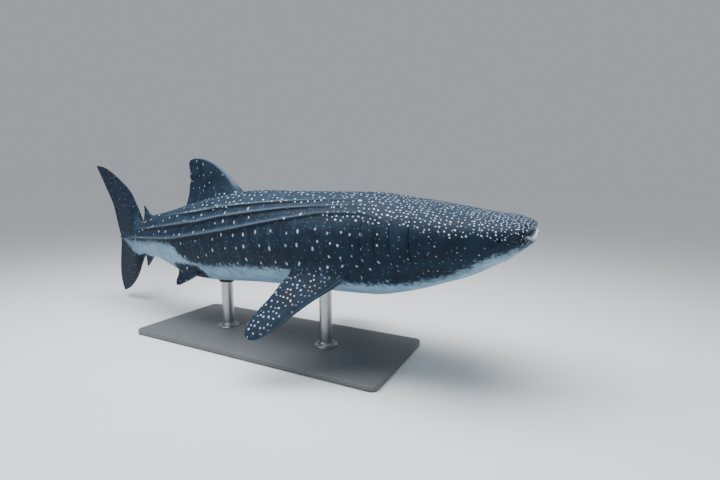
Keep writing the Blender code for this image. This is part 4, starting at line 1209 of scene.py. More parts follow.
def start_material(name, **values):
    """A new material with the shader's own sockets set, its tree and its Object coordinates."""
    material = bpy.data.materials.new(name)
    material.use_nodes = True
    tree = material.node_tree
    for key, value in values.items():
        tree.nodes["Principled BSDF"].inputs[key.replace("_", " ")].default_value = value
    return material, tree, put(tree, "ShaderNodeTexCoord", out=3)


def surface(tree, tone, rough=None, relief=None, strength=0.0, distance=0.0):
    """Links a colour to a material's shader, and its roughness and relief where it has them."""
    normal = None
    if relief is not None:
        sizes = {"Height": relief, "Strength": strength, "Distance": distance}
        normal = put(tree, "ShaderNodeBump", sizes)
    for name, value in (("Base Color", tone), ("Roughness", rough), ("Normal", normal)):
        if value is not None:
            tree.links.new(value, tree.nodes["Principled BSDF"].inputs[name])


MM = 0.001
# Spots in mm: spacing along and around the body, size along and around, looseness, first and last
# distance behind the snout, first and last distance from the back, share left out and strength
# The cheek, breast and flank spots are weaker than those above, painted dimmer as shade on the lower side
SPOT_LAYERS = {
    "snout": (33, 31, 13, 12, 0.6, -300, 480, -1, 592, 0.06, 1.0),
    "crown": (43, 40, 15, 13, 0.55, 490, 1150, -1, 660, 0.08, 1.0),
    "shoulder": (55, 51, 19, 16, 0.5, 1162, 1830, -1, 650, 0.12, 1.0),
    "back": (86, 80, 25, 20, 0.5, 1845, 3900, -1, 425, 0.15, 0.95),
    "cheek": (86, 80, 14, 14, 0.8, -300, 1150, 675, 4000, 0.42, 0.5),
    "breast": (122, 112, 25, 29, 0.5, 1165, 1900, 665, 4000, 0.12, 0.74),
    "flank": (186, 158, 26, 42, 0.4, 1915, 3900, 455, 4000, 0.1, 0.72),
    "tail": (180, 150, 25, 34, 0.5, 3930, 5600, -1, 4000, 0.15, 0.8),
}
DOT_SPACING = 58
DOT_SIZE = 9
PECTORAL_SPOTS = (58, 52, 21, 18, 0.75)
FIN_SPOTS = (112, 104, 20, 20, 0.75)
# About one bar to each column of the flank's spots
BAR_SPACING = 165


def spot_layer(tree, spot, sizes, looseness, left_out, ranges=()):
    """Mask of spots on a loosened grid; each keeps its own size, and some are left out."""
    step_a, step_b, wide, tall = [value * MM for value in sizes]
    cells = (1 / step_a, 1 / step_b, 0)
    cells = put(tree, "ShaderNodeVectorMath", {0: spot, 1: cells}, operation="MULTIPLY")
    near = {"Vector": cells, "Scale": 1.0, "Randomness": looseness}
    cell = put(tree, "ShaderNodeTexVoronoi", near, voronoi_dimensions="2D").node
    centre, chance = cell.outputs["Position"], cell.outputs["Color"]
    away = put(tree, "ShaderNodeVectorMath", {0: cells, 1: centre}, operation="SUBTRACT")
    scale = (2 * step_a / wide, 2 * step_b / tall, 0)
    away = put(tree, "ShaderNodeVectorMath", {0: away, 1: scale}, operation="MULTIPLY")
    far = put(tree, "ShaderNodeVectorMath", {0: away}, out=1, operation="LENGTH")
    lots = put(tree, "ShaderNodeSeparateColor", {0: chance}).node.outputs
    size = put(tree, "ShaderNodeMapRange", {"Value": lots[0], "To Min": 0.72, "To Max": 1.2})
    share = put(tree, "ShaderNodeMath", {0: far, 1: size}, operation="DIVIDE")
    edge = {"Value": share, "From Min": 0.64, "From Max": 1.14, "To Min": 1.0, "To Max": 0.0}
    inside = put(tree, "ShaderNodeMapRange", edge, interpolation_type="SMOOTHSTEP")
    kept = put(tree, "ShaderNodeMath", {0: lots[1], 1: left_out}, operation="GREATER_THAN")
    faint = put(tree, "ShaderNodeMapRange", {"Value": lots[2], "To Min": 0.62, "To Max": 1.0})
    factors = [inside, kept, faint]
    where = put(tree, "ShaderNodeSeparateXYZ", {0: centre}).node.outputs
    for axis, step, limits in zip((0, 1), (step_a, step_b), ranges):
        at = put(tree, "ShaderNodeMath", {0: where[axis], 1: step}, operation="MULTIPLY")
        if axis == 1:
            at = put(tree, "ShaderNodeMath", {0: at}, operation="ABSOLUTE")
        for limit, kind in zip(limits, ("GREATER_THAN", "LESS_THAN")):
            factors.append(put(tree, "ShaderNodeMath", {0: at, 1: limit * MM}, operation=kind))
    mask = factors[0]
    for factor in factors[1:]:
        mask = put(tree, "ShaderNodeMath", {0: mask, 1: factor}, operation="MULTIPLY")
    return mask


def spot_pattern(tree, spot, here, mark, fin):
    """Mask of all the spots: those of the body's regions, those of the fins, and small dots."""
    # Spots have uneven rims: their places are shaken by a few mm over every 30 mm
    shake = put(tree, "ShaderNodeTexNoise", {"Vector": here, "Scale": 33.0, "Detail": 2.0}, out=1)
    shake = put(tree, "ShaderNodeVectorMath", {0: shake, 1: (0.5, 0.5, 0.5)}, operation="SUBTRACT")
    shake = put(tree, "ShaderNodeVectorMath", {0: shake, 1: (0.016, 0.016, 0.0)}, operation="MULTIPLY")
    shaken = put(tree, "ShaderNodeVectorMath", {0: spot, 1: shake}, operation="ADD")
    body = None
    for *sizes, looseness, start, end, near, far, left_out, strength in SPOT_LAYERS.values():
        layer = spot_layer(tree, shaken, sizes, looseness, left_out, ((start, end), (near, far)))
        layer = put(tree, "ShaderNodeMath", {0: layer, 1: strength}, operation="MULTIPLY")
        if body is not None:
            layer = put(tree, "ShaderNodeMath", {0: body, 1: layer}, operation="MAXIMUM")
        body = layer
    paired, upright = [
        spot_layer(tree, shaken, sizes, looseness, 0.15)
        for *sizes, looseness in (PECTORAL_SPOTS, FIN_SPOTS)
    ]
    fins = put(tree, "ShaderNodeMix", {0: mark["bare"], 2: paired, 3: upright})
    dots = spot_layer(tree, shaken, (DOT_SPACING, DOT_SPACING, DOT_SIZE, DOT_SIZE), 0.9, 0.45)
    share = put(tree, "ShaderNodeMapRange", {"Value": mark["bare"], "To Min": 0.32, "To Max": 0.12})
    dots = put(tree, "ShaderNodeMath", {0: dots, 1: share}, operation="MULTIPLY")
    pattern = put(tree, "ShaderNodeMix", {0: fin, 2: body, 3: fins})
    pattern = put(tree, "ShaderNodeMath", {0: pattern, 1: dots}, operation="MAXIMUM")
    return put(tree, "ShaderNodeMath", {0: pattern, 1: mark["spots"]}, operation="MULTIPLY")


def hide_material():
    """Shark hide in satin paint: its gloss is soft and broad, and its pattern has no hard edge."""
    material, tree, here = start_material("shark_hide_satin", IOR=1.34, Specular_IOR_Level=0.35)
    mark = {name: put(tree, "ShaderNodeAttribute", out=2, attribute_name=name) for name in Hide.PAINTED}
    spot = put(tree, "ShaderNodeAttribute", out=1, attribute_name="hide_place")
    behind, _, fin = put(tree, "ShaderNodeSeparateXYZ", {0: spot}).node.outputs
    pattern = spot_pattern(tree, spot, here, mark, fin)
    off_fin = put(tree, "ShaderNodeMath", {0: 1.0, 1: fin}, operation="SUBTRACT")

    # Cloudy tone of the back, 140 mm across and finer
    cloud = {"Vector": here, "Scale": 7.0, "Detail": 5.0, "Roughness": 0.6}
    cloud = put(tree, "ShaderNodeTexNoise", cloud)
    cloud = put(tree, "ShaderNodeMapRange", {"Value": cloud, "From Min": 0.35, "From Max": 0.68})
    tones = {0: cloud, 6: colour("#0a1827"), 7: colour("#15293c")}
    tone = put(tree, "ShaderNodeMix", tones, out=2, data_type="RGBA")
    tones = {0: cloud, 6: colour("#6b8ba4"), 7: colour("#8fabc0")}
    belly = put(tree, "ShaderNodeMix", tones, out=2, data_type="RGBA")

    # Painted light from above makes the crown of the back paler than the flank,
    # fading from 300 to 750 mm off its middle
    crown = {"Value": mark["down"], "From Min": 0.3, "From Max": 0.75, "To Min": 0.1, "To Max": 0.0}
    crown = put(tree, "ShaderNodeMapRange", crown, interpolation_type="SMOOTHSTEP")
    crown = put(tree, "ShaderNodeMath", {0: crown, 1: off_fin}, operation="MULTIPLY")

    # Faint pale bars lie across the back and flank from 1.5 m behind the snout; they waver over
    # 250 mm, and the clouds break them up
    turn = {0: behind, 1: 2 * math.pi / (BAR_SPACING * MM)}
    turn = put(tree, "ShaderNodeMath", turn, operation="MULTIPLY")
    bend = put(tree, "ShaderNodeTexNoise", {"Vector": here, "Scale": 4.0, "Detail": 2.0})
    turn = put(tree, "ShaderNodeMath", {0: bend, 1: 3.0, 2: turn}, operation="MULTIPLY_ADD")
    wave = put(tree, "ShaderNodeMath", {0: turn}, operation="SINE")
    bars = {"Value": wave, "From Min": 0.6, "From Max": 1.0, "To Min": 0.0, "To Max": 0.08}
    bars = put(tree, "ShaderNodeMapRange", bars)
    stretch = put(tree, "ShaderNodeMapRange", {"Value": behind, "From Min": 1.5, "From Max": 2.2})
    for factor in (stretch, cloud, off_fin):
        bars = put(tree, "ShaderNodeMath", {0: bars, 1: factor}, operation="MULTIPLY")

    # The belly's border wanders by up to 110 mm, in a mottle 45 mm across and finer
    mottle = {"Vector": here, "Scale": 22.0, "Detail": 7.0, "Roughness": 0.7}
    mottle = put(tree, "ShaderNodeTexNoise", mottle)
    mottle = put(tree, "ShaderNodeMapRange", {"Value": mottle, "To Min": -0.11, "To Max": 0.11})
    depth = put(tree, "ShaderNodeMath", {0: mark["belly"], 1: mottle}, operation="ADD")
    edge = {"Value": depth, "From Min": -0.025, "From Max": 0.06}
    pale = put(tree, "ShaderNodeMapRange", edge, interpolation_type="SMOOTHSTEP")

    # Painted highlight on the ridges' crests and on the fins' fronts, and painted shade under the ridges
    crest, front, shade, rim = [
        put(tree, "ShaderNodeMath", {0: mark[name], 1: strength}, operation="MULTIPLY")
        for name, strength in (("crest", 0.55), ("paler", 0.5), ("under", 0.8), ("lip_rim", 0.95))
    ]
    for share, over in (
        # Painted light on the crown of the back
        (crown, colour("#35506a")),
        (bars, colour("#6f8799")),
        (crest, colour("#6b8295")),
        (front, colour("#72899b")),
        (shade, colour("#070e16")),
        (pattern, colour("#c8d8e5")),
        (pale, belly),
        (rim, colour("#ccd9e2")),
        # Painted shade in the gill slits' pockets, in the holes of the head and round the eyes
        (mark["pocket"], colour("#0a1420")),
        (mark["lining"], colour("#8fa8ba")),
    ):
        tone = put(tree, "ShaderNodeMix", {0: share, 6: tone, 7: over}, out=2, data_type="RGBA")

    rough = put(tree, "ShaderNodeMapRange", {"Value": cloud, "To Min": 0.6, "To Max": 0.72})
    # Skin scales are 0.5 mm and too fine to show, so the grain is drawn 8 mm coarse, and the hide
    # under it swells gently over 90 mm
    grain = {"Vector": here, "Scale": 120.0, "Detail": 4.0, "Roughness": 0.65}
    grain = put(tree, "ShaderNodeTexNoise", grain)
    swell = put(tree, "ShaderNodeTexNoise", {"Vector": here, "Scale": 11.0, "Detail": 3.0})
    relief = put(tree, "ShaderNodeMath", {0: swell, 1: 3.0, 2: grain}, operation="MULTIPLY_ADD")
    surface(tree, tone, rough, relief, 0.35, 0.0025)
    return material


def eye_material():
    """Glass eye: clear outer shell over a painted iris, so it is very glossy and dark."""
    material, tree, here = start_material("glass_eye", Roughness=0.14, IOR=1.33)
    far = put(tree, "ShaderNodeAttribute", out=2, attribute_name="from_pupil")
    # Fibres of the iris are 1 mm across and blur its rings by up to 3 degrees
    fibre = put(tree, "ShaderNodeTexNoise", {"Vector": here, "Scale": 900.0, "Detail": 2.0})
    fibre = put(tree, "ShaderNodeMapRange", {"Value": fibre, "To Min": -3.0, "To Max": 3.0})
    shaken = put(tree, "ShaderNodeMath", {0: far, 1: fibre}, operation="ADD")
    # From the black pupil out, each tone comes in between two angles from the pupil's middle
    tone = colour("#010102")
    for outer, start, end in (
        ("#1b2730", 21.0, 23.0),
        ("#2a3843", 28.0, 34.0),
        ("#05080b", 38.0, 43.0),
        ("#151d24", 48.0, 56.0),
    ):
        share = put(tree, "ShaderNodeMapRange", {"Value": shaken, "From Min": start, "From Max": end})
        tones = {0: share, 6: tone, 7: colour(outer)}
        tone = put(tree, "ShaderNodeMix", tones, out=2, data_type="RGBA")
    surface(tree, tone)
    return material


def tooth_material():
    """Tooth enamel: ivory, smooth and a little glossy."""
    material, tree, here = start_material("tooth_enamel", Roughness=0.28, IOR=1.62)
    # Stains drift over 17 mm, from tooth to tooth
    stain = put(tree, "ShaderNodeTexNoise", {"Vector": here, "Scale": 60.0, "Detail": 2.0})
    tones = {0: stain, 6: colour("#d3d4cc"), 7: colour("#ecedea")}
    surface(tree, put(tree, "ShaderNodeMix", tones, out=2, data_type="RGBA"))
    return material


def coated_material():
    """Powder-coated steel sheet over a timber core: fine orange peel and a satin gloss."""
    material, tree, here = start_material("powder_coated_steel", Roughness=0.45, IOR=1.5)
    # The coat lies a little thicker and thinner over 330 mm
    cloud = put(tree, "ShaderNodeTexNoise", {"Vector": here, "Scale": 3.0, "Detail": 4.0})
    tones = {0: cloud, 6: colour("#55595c"), 7: colour("#626669")}
    tone = put(tree, "ShaderNodeMix", tones, out=2, data_type="RGBA")
    # Flecks of the powder are 0.2 mm, drawn 3 mm so that they show
    fleck = put(tree, "ShaderNodeTexNoise", {"Vector": here, "Scale": 330.0, "Detail": 1.0})
    fleck = {"Value": fleck, "From Min": 0.6, "From Max": 0.72, "To Max": 0.4}
    fleck = put(tree, "ShaderNodeMapRange", fleck)
    tones = {0: fleck, 6: tone, 7: colour("#7c8184")}
    tone = put(tree, "ShaderNodeMix", tones, out=2, data_type="RGBA")
    rough = put(tree, "ShaderNodeMapRange", {"Value": cloud, "To Min": 0.38, "To Max": 0.55})
    # Orange peel is 2 mm across, drawn 6 mm
    peel = put(tree, "ShaderNodeTexNoise", {"Vector": here, "Scale": 160.0, "Detail": 2.0})
    surface(tree, tone, rough, peel, 0.25, 0.0008)
    return material


def brushed_material():
    """Brushed stainless steel: drawn through abrasive, which leaves fine lines along the rod."""
    material, tree, here = start_material("brushed_stainless_steel", Metallic=1.0, Roughness=0.32)
    # Brush lines are 0.1 mm apart, drawn 2 mm wide and 200 mm long
    lines = {0: here, 1: (500.0, 500.0, 5.0)}
    lines = put(tree, "ShaderNodeVectorMath", lines, operation="MULTIPLY")
    lines = put(tree, "ShaderNodeTexNoise", {"Vector": lines, "Scale": 1.0, "Detail": 3.0})
    tones = {0: lines, 6: colour("#8f9395"), 7: colour("#b9bcbe")}
    tone = put(tree, "ShaderNodeMix", tones, out=2, data_type="RGBA")
    rough = put(tree, "ShaderNodeMapRange", {"Value": lines, "To Min": 0.24, "To Max": 0.42})
    surface(tree, tone, rough, lines, 0.15, 0.0004)
    return material


def rubber_material():
    """Moulded rubber pad: matt, almost black, with the grain of its mould."""
    material, tree, here = start_material("moulded_rubber", Roughness=0.8, IOR=1.52)
    # Clouds 25 mm across, with a grain of 3 mm in them
    cloud = put(tree, "ShaderNodeTexNoise", {"Vector": here, "Scale": 40.0, "Detail": 3.0})
    tones = {0: cloud, 6: colour("#15171a"), 7: colour("#24272b")}
    tone = put(tree, "ShaderNodeMix", tones, out=2, data_type="RGBA")
    surface(tree, tone, relief=cloud, strength=0.2, distance=0.0006)
    return material


def floor_material():
    """Painted studio floor: pale, matt and even, with drifts over more than a metre."""
    material, tree, here = start_material("painted_floor", Roughness=0.8, IOR=1.5)
    cloud = put(tree, "ShaderNodeTexNoise", {"Vector": here, "Scale": 0.8, "Detail": 3.0})
    tones = {0: cloud, 6: colour("#dcdfe1"), 7: colour("#e1e4e6")}
    surface(tree, put(tree, "ShaderNodeMix", tones, out=2, data_type="RGBA"))
    return material


# The finished skin and the solids that it stands for
RELAX_ROUNDS = 10
SKIN_NODES = (
    "head",
    "lower_jaw",
    "gill_region",
    "chest",
    "mid_body",
    "hind_body",
    "tail_stalk",
    "caudal_upper",
    "caudal_lower",
    "dorsal_first",
    "dorsal_second",
    "anal_fin",
    "pectoral_left",
    "pectoral_right",
    "pelvic_left",
    "pelvic_right",
)


def build_skin(finish):
    """The skin as one finished piece, in place of all the solids of the flesh."""
    hide, layout = build_hide()
    # Points inside the holes of the fins' roots belong to no face and go
    used = np.zeros(hide.count, bool)
    for face in hide.faces:
        used[face] = True
    renumbered = np.cumsum(used) - 1
    faces = [[int(renumbered[corner]) for corner in face] for face in hide.faces]
    layout = {part: [renumbered[ring] for ring in rings] for part, rings in layout.items()}
    marks = {name: np.concatenate(values)[used] for name, values in hide.marks.items()}
    places, along, around = (
        np.concatenate(values)[used] for values in (hide.points, hide.along, hide.around)
    )
    points = place(places)
    mesh = write_mesh("whale_skin", points, faces, finish)
    edges = np.empty(len(mesh.edges) * 2, int)
    mesh.edges.foreach_get("vertices", edges)
    points = relax(points, edges.reshape(-1, 2), marks["soften"], RELAX_ROUNDS)
    mesh.vertices.foreach_set("co", points.ravel())
    mesh.update()
    dress_hide(mesh, places, layout, marks)
    darken_roots(points, places, marks)
    put_marks(mesh, along, around, marks)
    settle("whale_skin", mesh, "skin_dark", *SKIN_NODES)
    return mesh


hide_finish = hide_material()
skin_mesh = build_skin(hide_finish)
# Finds places on the finished skin
skin_finder = BVHTree.FromPolygons(
    [tuple(corner.co) for corner in skin_mesh.vertices],
    [tuple(face.vertices) for face in skin_mesh.polygons],
)

# The eyes, in metres: the eyeball and how much its cornea bulges
EYE_RADIUS = 0.0284
CORNEA = 0.02
# Middle of the lid's fold, its half width towards the eye and away from it and its half height,
# how deep it sits in the hide, and the least distance of its seat from the eye's centre
LID_RADIUS = 0.0242
LID_THICK = (0.0062, 0.0105, 0.0038)
LID_DEEP = 0.0015
LID_SEAT = 0.012
# Place in the pattern that the whole lid takes
LID_PLACE = (0.15, 0.9)


def turned(points, centre, direction):
    """Points about +Z moved so that +Z follows a direction."""
    turn = Vector((0.0, 0.0, 1.0)).rotation_difference(Vector(direction)).to_matrix()
    return [centre + turn @ Vector(point) for point in points]


def build_eye(side, finish):
    """A glass eyeball with a slight corneal bulge over the iris; returns its place and way."""
    centre = eye_centre(side)
    normal = skin_finder.find_nearest(centre)[1]
    if normal.y * centre.y < 0.0:
        normal = -normal
    sides, rings = 48, 32
    points, far = [(0.0, 0.0, EYE_RADIUS * (1.0 + CORNEA))], [0.0]
    for ring in range(1, rings):
        angle = math.pi * ring / rings
        bulge = 1.0 + CORNEA * max(0.0, math.cos(min(math.pi / 2, angle * 2.2)))
        size = EYE_RADIUS * bulge
        reach = size * math.sin(angle)
        for k in range(sides):
            turn = 2 * math.pi * k / sides
            points.append((reach * math.cos(turn), reach * math.sin(turn), size * math.cos(angle)))
            far.append(math.degrees(angle))
    points.append((0.0, 0.0, -EYE_RADIUS))
    far.append(180.0)
    last = 1 + (rings - 2) * sides
    faces = [face for first in range(1, last, sides) for face in band(first, first + sides, sides)]
    for k in range(sides):
        after = (k + 1) % sides
        faces += [(0, 1 + k, 1 + after), (last + k, len(points) - 1, last + after)]
    mesh = write_mesh("eyeball_" + side, turned(points, centre, normal), faces, finish)
    attribute = mesh.attributes.new("from_pupil", "FLOAT", "POINT")
    attribute.data.foreach_set("value", far)
    settle("eyeball_" + side, mesh, "eye", "eye_" + side)
    return centre, normal


def build_lid(side, centre, normal, finish):
    """Fold of skin round the eye, lying on the hide and on the eyeball."""
    sides, rings = 72, 16
    seat = max(LID_SEAT, (skin_finder.find_nearest(centre)[0] - centre).dot(normal))
    inner, outer, high = LID_THICK
    points = []
    for k in range(sides):
        turn = 2 * math.pi * k / sides
        crease = 1.0 + 0.05 * math.sin(3 * turn + 0.7) + 0.02 * math.sin(8 * turn)
        for ring in range(rings):
            angle = 2 * math.pi * ring / rings
            wide = outer if math.cos(angle) > 0.0 else inner
            reach = LID_RADIUS + wide * math.cos(angle) * crease
            lift = seat + high * math.sin(angle) * crease - LID_DEEP
            points.append((reach * math.cos(turn), reach * math.sin(turn), lift))
    points = turned(points, centre, normal)
    mesh = write_mesh("eyelid_" + side, points, closed_tube(sides, rings), finish)
    plain = {name: np.zeros(len(points)) for name in Hide.MARKS}
    plain["belly"] -= 1.0
    put_marks(mesh, *(np.full(len(points), value) for value in LID_PLACE), plain)
    settle("eyelid_" + side, mesh, "skin_dark")


glass = eye_material()
for eye_side in ("left", "right"):
    build_lid(eye_side, *build_eye(eye_side, glass), hide_finish)


# The teeth, in metres: real ones are at most 6 mm long, in about 300 rows behind each lip
TOOTH_RADIUS = 0.0014
TOOTH_LONG = 0.0052
TEETH_PER_SQUARE_METRE = 30000.0
TOOTH_LEAN = 40.0
# Their band on the mouth's inside: rows, first row, and how far it runs towards the corner
TOOTH_ROWS = 5
TOOTH_FIRST_ROW = 1.6
TOOTH_END = 0.9


def start_tree(name, **kinds):
    """A new geometry node tree with named inputs, and what its inputs give."""
    tree = bpy.data.node_groups.new(name, "GeometryNodeTree")
    for socket, kind in kinds.items():
        tree.interface.new_socket(socket, in_out="INPUT", socket_type="NodeSocket" + kind)
    tree.interface.new_socket("Geometry", in_out="OUTPUT", socket_type="NodeSocketGeometry")
    return tree, put(tree, "NodeGroupInput").node.outputs


def end_tree(tree, shape, finish):
    """Makes a tree's instances real, gives them their material and puts them out."""
    real = put(tree, "GeometryNodeRealizeInstances", {"Geometry": shape})
    done = put(tree, "GeometryNodeSetMaterial", {"Geometry": real, "Material": finish})
    tree.links.new(done, tree.nodes.new("NodeGroupOutput").inputs[0])


def tooth_tree():
    """Geometry nodes: small pointed teeth strewn over a band and leaning backwards."""
    sizes = {"Density": "Float", "Radius": "Float", "Long": "Float", "Seed": "Int", "Lean": "Vector"}
    tree, given = start_tree("tooth_band", Band="Geometry", **sizes, Finish="Material")
    strewn = {"Mesh": given["Band"], "Density": given["Density"], "Seed": given["Seed"]}
    strewn = put(tree, "GeometryNodeDistributePointsOnFaces", strewn).node.outputs
    cone = {"Vertices": 6, "Radius Top": 0.0, "Radius Bottom": given["Radius"], "Depth": given["Long"]}
    cone = put(tree, "GeometryNodeMeshCone", cone)
    size = {"Min": 0.65, "Max": 1.1, "Seed": 9}
    size = put(tree, "FunctionNodeRandomValue", size, out=1, data_type="FLOAT")
    grown = {"Points": strewn["Points"], "Instance": cone, "Rotation": strewn["Rotation"], "Scale": size}
    grown = put(tree, "GeometryNodeInstanceOnPoints", grown)
    leaning = {"Instances": grown, "Rotation": given["Lean"]}
    end_tree(tree, put(tree, "GeometryNodeRotateInstances", leaning), given["Finish"])
    return tree


def grow(name, tree, values, slot, start=None):
    """Runs a geometry node tree on a starting mesh and keeps the result as a plain piece."""
    holder = link(name + "_maker", start or bpy.data.meshes.new(name + "_maker"))
    modifier = holder.modifiers.new("maker", "NODES")
    modifier.node_group = tree
    for socket in tree.interface.items_tree:
        if socket.in_out == "INPUT" and socket.name in values:
            modifier[socket.identifier] = values[socket.name]
    bpy.context.view_layer.update()
    grown = holder.evaluated_get(bpy.context.evaluated_depsgraph_get())
    mesh = bpy.data.meshes.new_from_object(grown)
    mesh.name = name
    bpy.data.objects.remove(holder, do_unlink=True)
    settle(name, mesh, slot)


def tooth_band(upper):
    """Strip just inside a lip, facing into the mouth."""
    rows = mouth_grid(((np.arange(TOOTH_ROWS) + TOOTH_FIRST_ROW) / MOUTH_RINGS) ** MOUTH_CROWDING)
    keep = np.flatnonzero((ALONG < TOOTH_END) & (UPPER_HALF if upper else ~UPPER_HALF))
    rows = rows[:, keep]
    mirrored = rows[:, ::-1] * np.array([1.0, -1.0, 1.0])
    order = [mirrored[:, :-1], rows] if upper else [rows, mirrored[:, 1:]]
    strip = np.concatenate(order, axis=1)
    count = strip.shape[1]
    faces = [
        (row * count + k, row * count + k + 1, (row + 1) * count + k + 1, (row + 1) * count + k)
        for row in range(TOOTH_ROWS - 1)
        for k in range(count - 1)
    ]
    mesh = bpy.data.meshes.new("tooth_band")
    mesh.from_pydata(place(strip).reshape(-1, 3).tolist(), [], faces)
    upwards = sum(face.normal.z * face.area for face in mesh.polygons)
    if (upwards > 0.0) == upper:
        mesh.flip_normals()
    return mesh


enamel = tooth_material()
teeth = tooth_tree()
for jaw, is_upper, seed, lean in (("upper", True, 3, -TOOTH_LEAN), ("lower", False, 8, TOOTH_LEAN)):
    tooth_values = {
        "Density": TEETH_PER_SQUARE_METRE,
        "Radius": TOOTH_RADIUS,
        "Long": TOOTH_LONG,
        "Seed": seed,
        "Lean": (0.0, math.radians(lean), 0.0),
        "Finish": enamel,
    }
    grow("teeth_" + jaw, teeth, tooth_values, "skin_pale", tooth_band(is_upper))

# The stand, in metres: the base's rounded edge, its round corners and the foot set in under it
BASE_EDGE = 0.006
BASE_EDGE_STEPS = 5
BASE_CORNER = 0.08
BASE_FOOT_IN = 0.03
BASE_FOOT_HIGH = 0.012
# Edges that turn by more than this stay sharp
SHARP = math.radians(40.0)
# Radius and height of the flange's and the pad's section, round a rod of 0.07
ROD_HOLE = 0.0702
FLANGE_PROFILE = (
    (ROD_HOLE, 0.0),
    (0.128, 0.0),
    (0.130, 0.002),
    (0.130, 0.010),
    (0.128, 0.012),
    (0.092, 0.012),
    (0.086, 0.015),
    (0.083, 0.022),
    (0.082, 0.046),
    (0.080, 0.048),
    (ROD_HOLE, 0.048),
)
PAD_PROFILE = (
    (ROD_HOLE, -0.030),
    (0.082, -0.030),
    (0.090, -0.024),
    (0.094, -0.012),
    (0.095, -0.002),
    (0.092, 0.006),
    (ROD_HOLE, 0.010),
)
# The flange's bolts, and how far their seat is above the base
BOLTS = 6
BOLT_CIRCLE = 0.109
BOLT_HEAD = 0.0085
BOLT_HIGH = 0.007
BOLT_SEAT = 0.013


def rounded_outline(half_x, half_y, corner, steps=14):
    """Points round a rectangle with round corners."""
    points = []
    for number, (sx, sy) in enumerate(((1, 1), (-1, 1), (-1, -1), (1, -1))):
        for k in range(steps + 1):
            turn = math.radians(90.0 * (number + k / steps))
            points.append(
                (
                    sx * (half_x - corner) + corner * math.cos(turn),
                    sy * (half_y - corner) + corner * math.sin(turn),
                )
            )
    return points


def build_base(finish):
    """The base plate: a thin foot set in under it and a rounded upper edge."""
    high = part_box("stand_base")[1]
    turns = [math.radians(90.0 / BASE_EDGE_STEPS * k) for k in range(BASE_EDGE_STEPS + 1)]
    edge = [(BASE_EDGE * (1 - math.cos(turn)), BASE_EDGE * (1 - math.sin(turn))) for turn in turns]
    levels = [(0.0, BASE_FOOT_IN), (BASE_FOOT_HIGH, BASE_FOOT_IN), (BASE_FOOT_HIGH, BASE_EDGE)]
    levels += [(BASE_FOOT_HIGH + rise, inset) for rise, inset in edge[1:]]
    levels += [(high.z - drop, inset) for inset, drop in edge]
    points = []
    for height, inset in levels:
        outline = rounded_outline(high.x - inset, high.y - inset, BASE_CORNER - inset)
        points += [(x, y, height) for x, y in outline]
    count = len(outline)
    top = (len(levels) - 1) * count
    faces = [face for first in range(0, top, count) for face in band(first, first + count, count)]
    faces += [tuple(reversed(range(count))), tuple(range(top, top + count))]
    mesh = write_mesh("base_plate", points, faces, finish)
    mesh.set_sharp_from_angle(angle=SHARP)
    settle("base_plate", mesh, "stand", "stand_base")


def turned_ring(name, centre, profile, finish, lift=None, sides=64):
    """A closed ring turned from (radius, height) points; lift gives a height at each place."""
    points = []
    for k in range(sides):
        turn = 2 * math.pi * k / sides
        for radius, height in profile:
            x, y = centre.x + radius * math.cos(turn), centre.y + radius * math.sin(turn)
            points.append((x, y, height + (lift(x, y) if lift else 0.0)))
    mesh = write_mesh(name, points, closed_tube(sides, len(profile)), finish)
    mesh.set_sharp_from_angle(angle=SHARP)
    settle(name, mesh, "stand")


def under_belly(x, y):
    """Height of the belly above a place on the floor."""
    hit = skin_finder.ray_cast(Vector((x, y, 0.0)), Vector((0.0, 0.0, 1.0)))[0]
    return hit.z if hit else 0.0


def bolt_tree():
    """Geometry nodes: six-sided bolt heads with washers, evenly round a circle."""
    sizes = {"Circle": "Float", "Head": "Float", "Height": "Float", "Centre": "Vector"}
    tree, given = start_tree("bolt_ring", Bolts="Int", **sizes, Finish="Material")
    circle = {"Vertices": given["Bolts"], "Radius": given["Circle"]}
    circle = put(tree, "GeometryNodeMeshCircle", circle)
    wide = put(tree, "ShaderNodeMath", {0: given["Head"], 1: 1.45}, operation="MULTIPLY")
    washer = {"Vertices": 24, "Radius": wide, "Depth": 0.002}
    washer = put(tree, "GeometryNodeMeshCylinder", washer)
    head = {"Vertices": 6, "Radius": given["Head"], "Depth": given["Height"]}
    head = put(tree, "GeometryNodeMeshCylinder", head)
    half = put(tree, "ShaderNodeMath", {0: given["Height"], 1: 0.5}, operation="MULTIPLY")
    lift = put(tree, "ShaderNodeCombineXYZ", {2: half})
    head = put(tree, "GeometryNodeTransform", {"Geometry": head, "Translation": lift})
    bolt = put(tree, "GeometryNodeJoinGeometry", {0: head})
    tree.links.new(washer, bolt.node.inputs[0])
    spin = {"Min": 0.0, "Max": 1.0, "Seed": 4}
    spin = put(tree, "FunctionNodeRandomValue", spin, out=1, data_type="FLOAT")
    turn = put(tree, "ShaderNodeCombineXYZ", {2: spin})
    ring = {"Points": circle, "Instance": bolt, "Rotation": turn}
    ring = put(tree, "GeometryNodeInstanceOnPoints", ring)
    moved = {"Geometry": ring, "Translation": given["Centre"]}
    end_tree(tree, put(tree, "GeometryNodeTransform", moved), given["Finish"])
    return tree


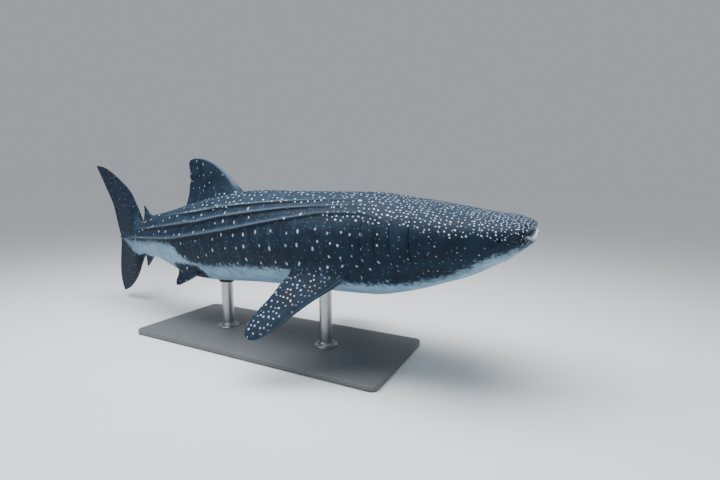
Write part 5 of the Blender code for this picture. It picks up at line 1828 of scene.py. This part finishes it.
coated = coated_material()
brushed = brushed_material()
rubber = rubber_material()
build_base(coated)
bolts = bolt_tree()
base_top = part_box("stand_base")[1].z
foot = [(radius, height + base_top) for radius, height in FLANGE_PROFILE]
for end_name in ("front", "rear"):
    rod_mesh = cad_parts["stand_rod_" + end_name].data
    rod_mesh.materials.clear()
    rod_mesh.materials.append(brushed)
    rod_low, rod_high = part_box("stand_rod_" + end_name)
    rod_axis = (rod_low + rod_high) / 2
    turned_ring("rod_flange_" + end_name, rod_axis, foot, brushed)
    turned_ring("belly_pad_" + end_name, rod_axis, PAD_PROFILE, rubber, under_belly)
    bolt_values = {
        "Bolts": BOLTS,
        "Circle": BOLT_CIRCLE,
        "Head": BOLT_HEAD,
        "Height": BOLT_HIGH,
        "Centre": (rod_axis.x, rod_axis.y, base_top + BOLT_SEAT),
        "Finish": brushed,
    }
    grow("flange_bolts_" + end_name, bolts, bolt_values, "stand")

# The studio: floor, backdrop, lights and camera
FLOOR_SIZE = 80.0
floor_mesh = bpy.data.meshes.new("studio_floor")
floor_work = bmesh.new()
bmesh.ops.create_grid(floor_work, x_segments=8, y_segments=8, size=FLOOR_SIZE)
floor_work.to_mesh(floor_mesh)
floor_work.free()
floor_mesh.materials.append(floor_material())
link("studio_floor", floor_mesh)

world_light = bpy.data.worlds.new("studio")
world_light.use_nodes = True
backdrop = world_light.node_tree.nodes["Background"]
backdrop.inputs["Color"].default_value = colour("#dfe6ec")
backdrop.inputs["Strength"].default_value = 0.5
bpy.context.scene.world = world_light


def aim(name, data, at, towards):
    """Puts a light or the camera at a place, turned to look along a direction."""
    thing = link(name, data)
    thing.location = at
    thing.rotation_mode = "QUATERNION"
    thing.rotation_quaternion = Vector(towards).to_track_quat("-Z", "Y")
    return thing


def soft_light(name, size, power, at, towards):
    """A large soft panel of light."""
    lamp = bpy.data.lights.new(name, "AREA")
    lamp.shape = "RECTANGLE"
    lamp.size, lamp.size_y = size
    lamp.energy = power
    aim(name, lamp, at, Vector(towards) - Vector(at))


soft_light("overhead_panel", (9.0, 3.5), 1000.0, (0.3, -0.9, 6.2), (0.0, 0.0, 1.2))
soft_light("front_fill", (5.0, 3.0), 60.0, (3.5, -7.5, 3.2), (0.0, 0.0, 1.3))

# Even light from above as far as the horizon, so that the floor runs into the backdrop
sky = bpy.data.lights.new("ceiling", "SUN")
sky.energy = 0.4
sky.angle = math.radians(70.0)
link("ceiling", sky)

# The photograph's view: close to the head, from its right side and a little above it
CAMERA_LENS = 20.0
CAMERA_AZIMUTH = 26.8
CAMERA_DOWN = 7.27
CAMERA_PLACE = (3.031, -3.686, 1.80)
camera_data = bpy.data.cameras.new("view")
camera_data.lens = CAMERA_LENS
camera_data.sensor_width = 36.0
camera_data.clip_end = 300.0
level = math.cos(math.radians(CAMERA_DOWN))
look = (
    -math.sin(math.radians(CAMERA_AZIMUTH)) * level,
    math.cos(math.radians(CAMERA_AZIMUTH)) * level,
    -math.sin(math.radians(CAMERA_DOWN)),
)
bpy.context.scene.camera = aim("view", camera_data, CAMERA_PLACE, look)
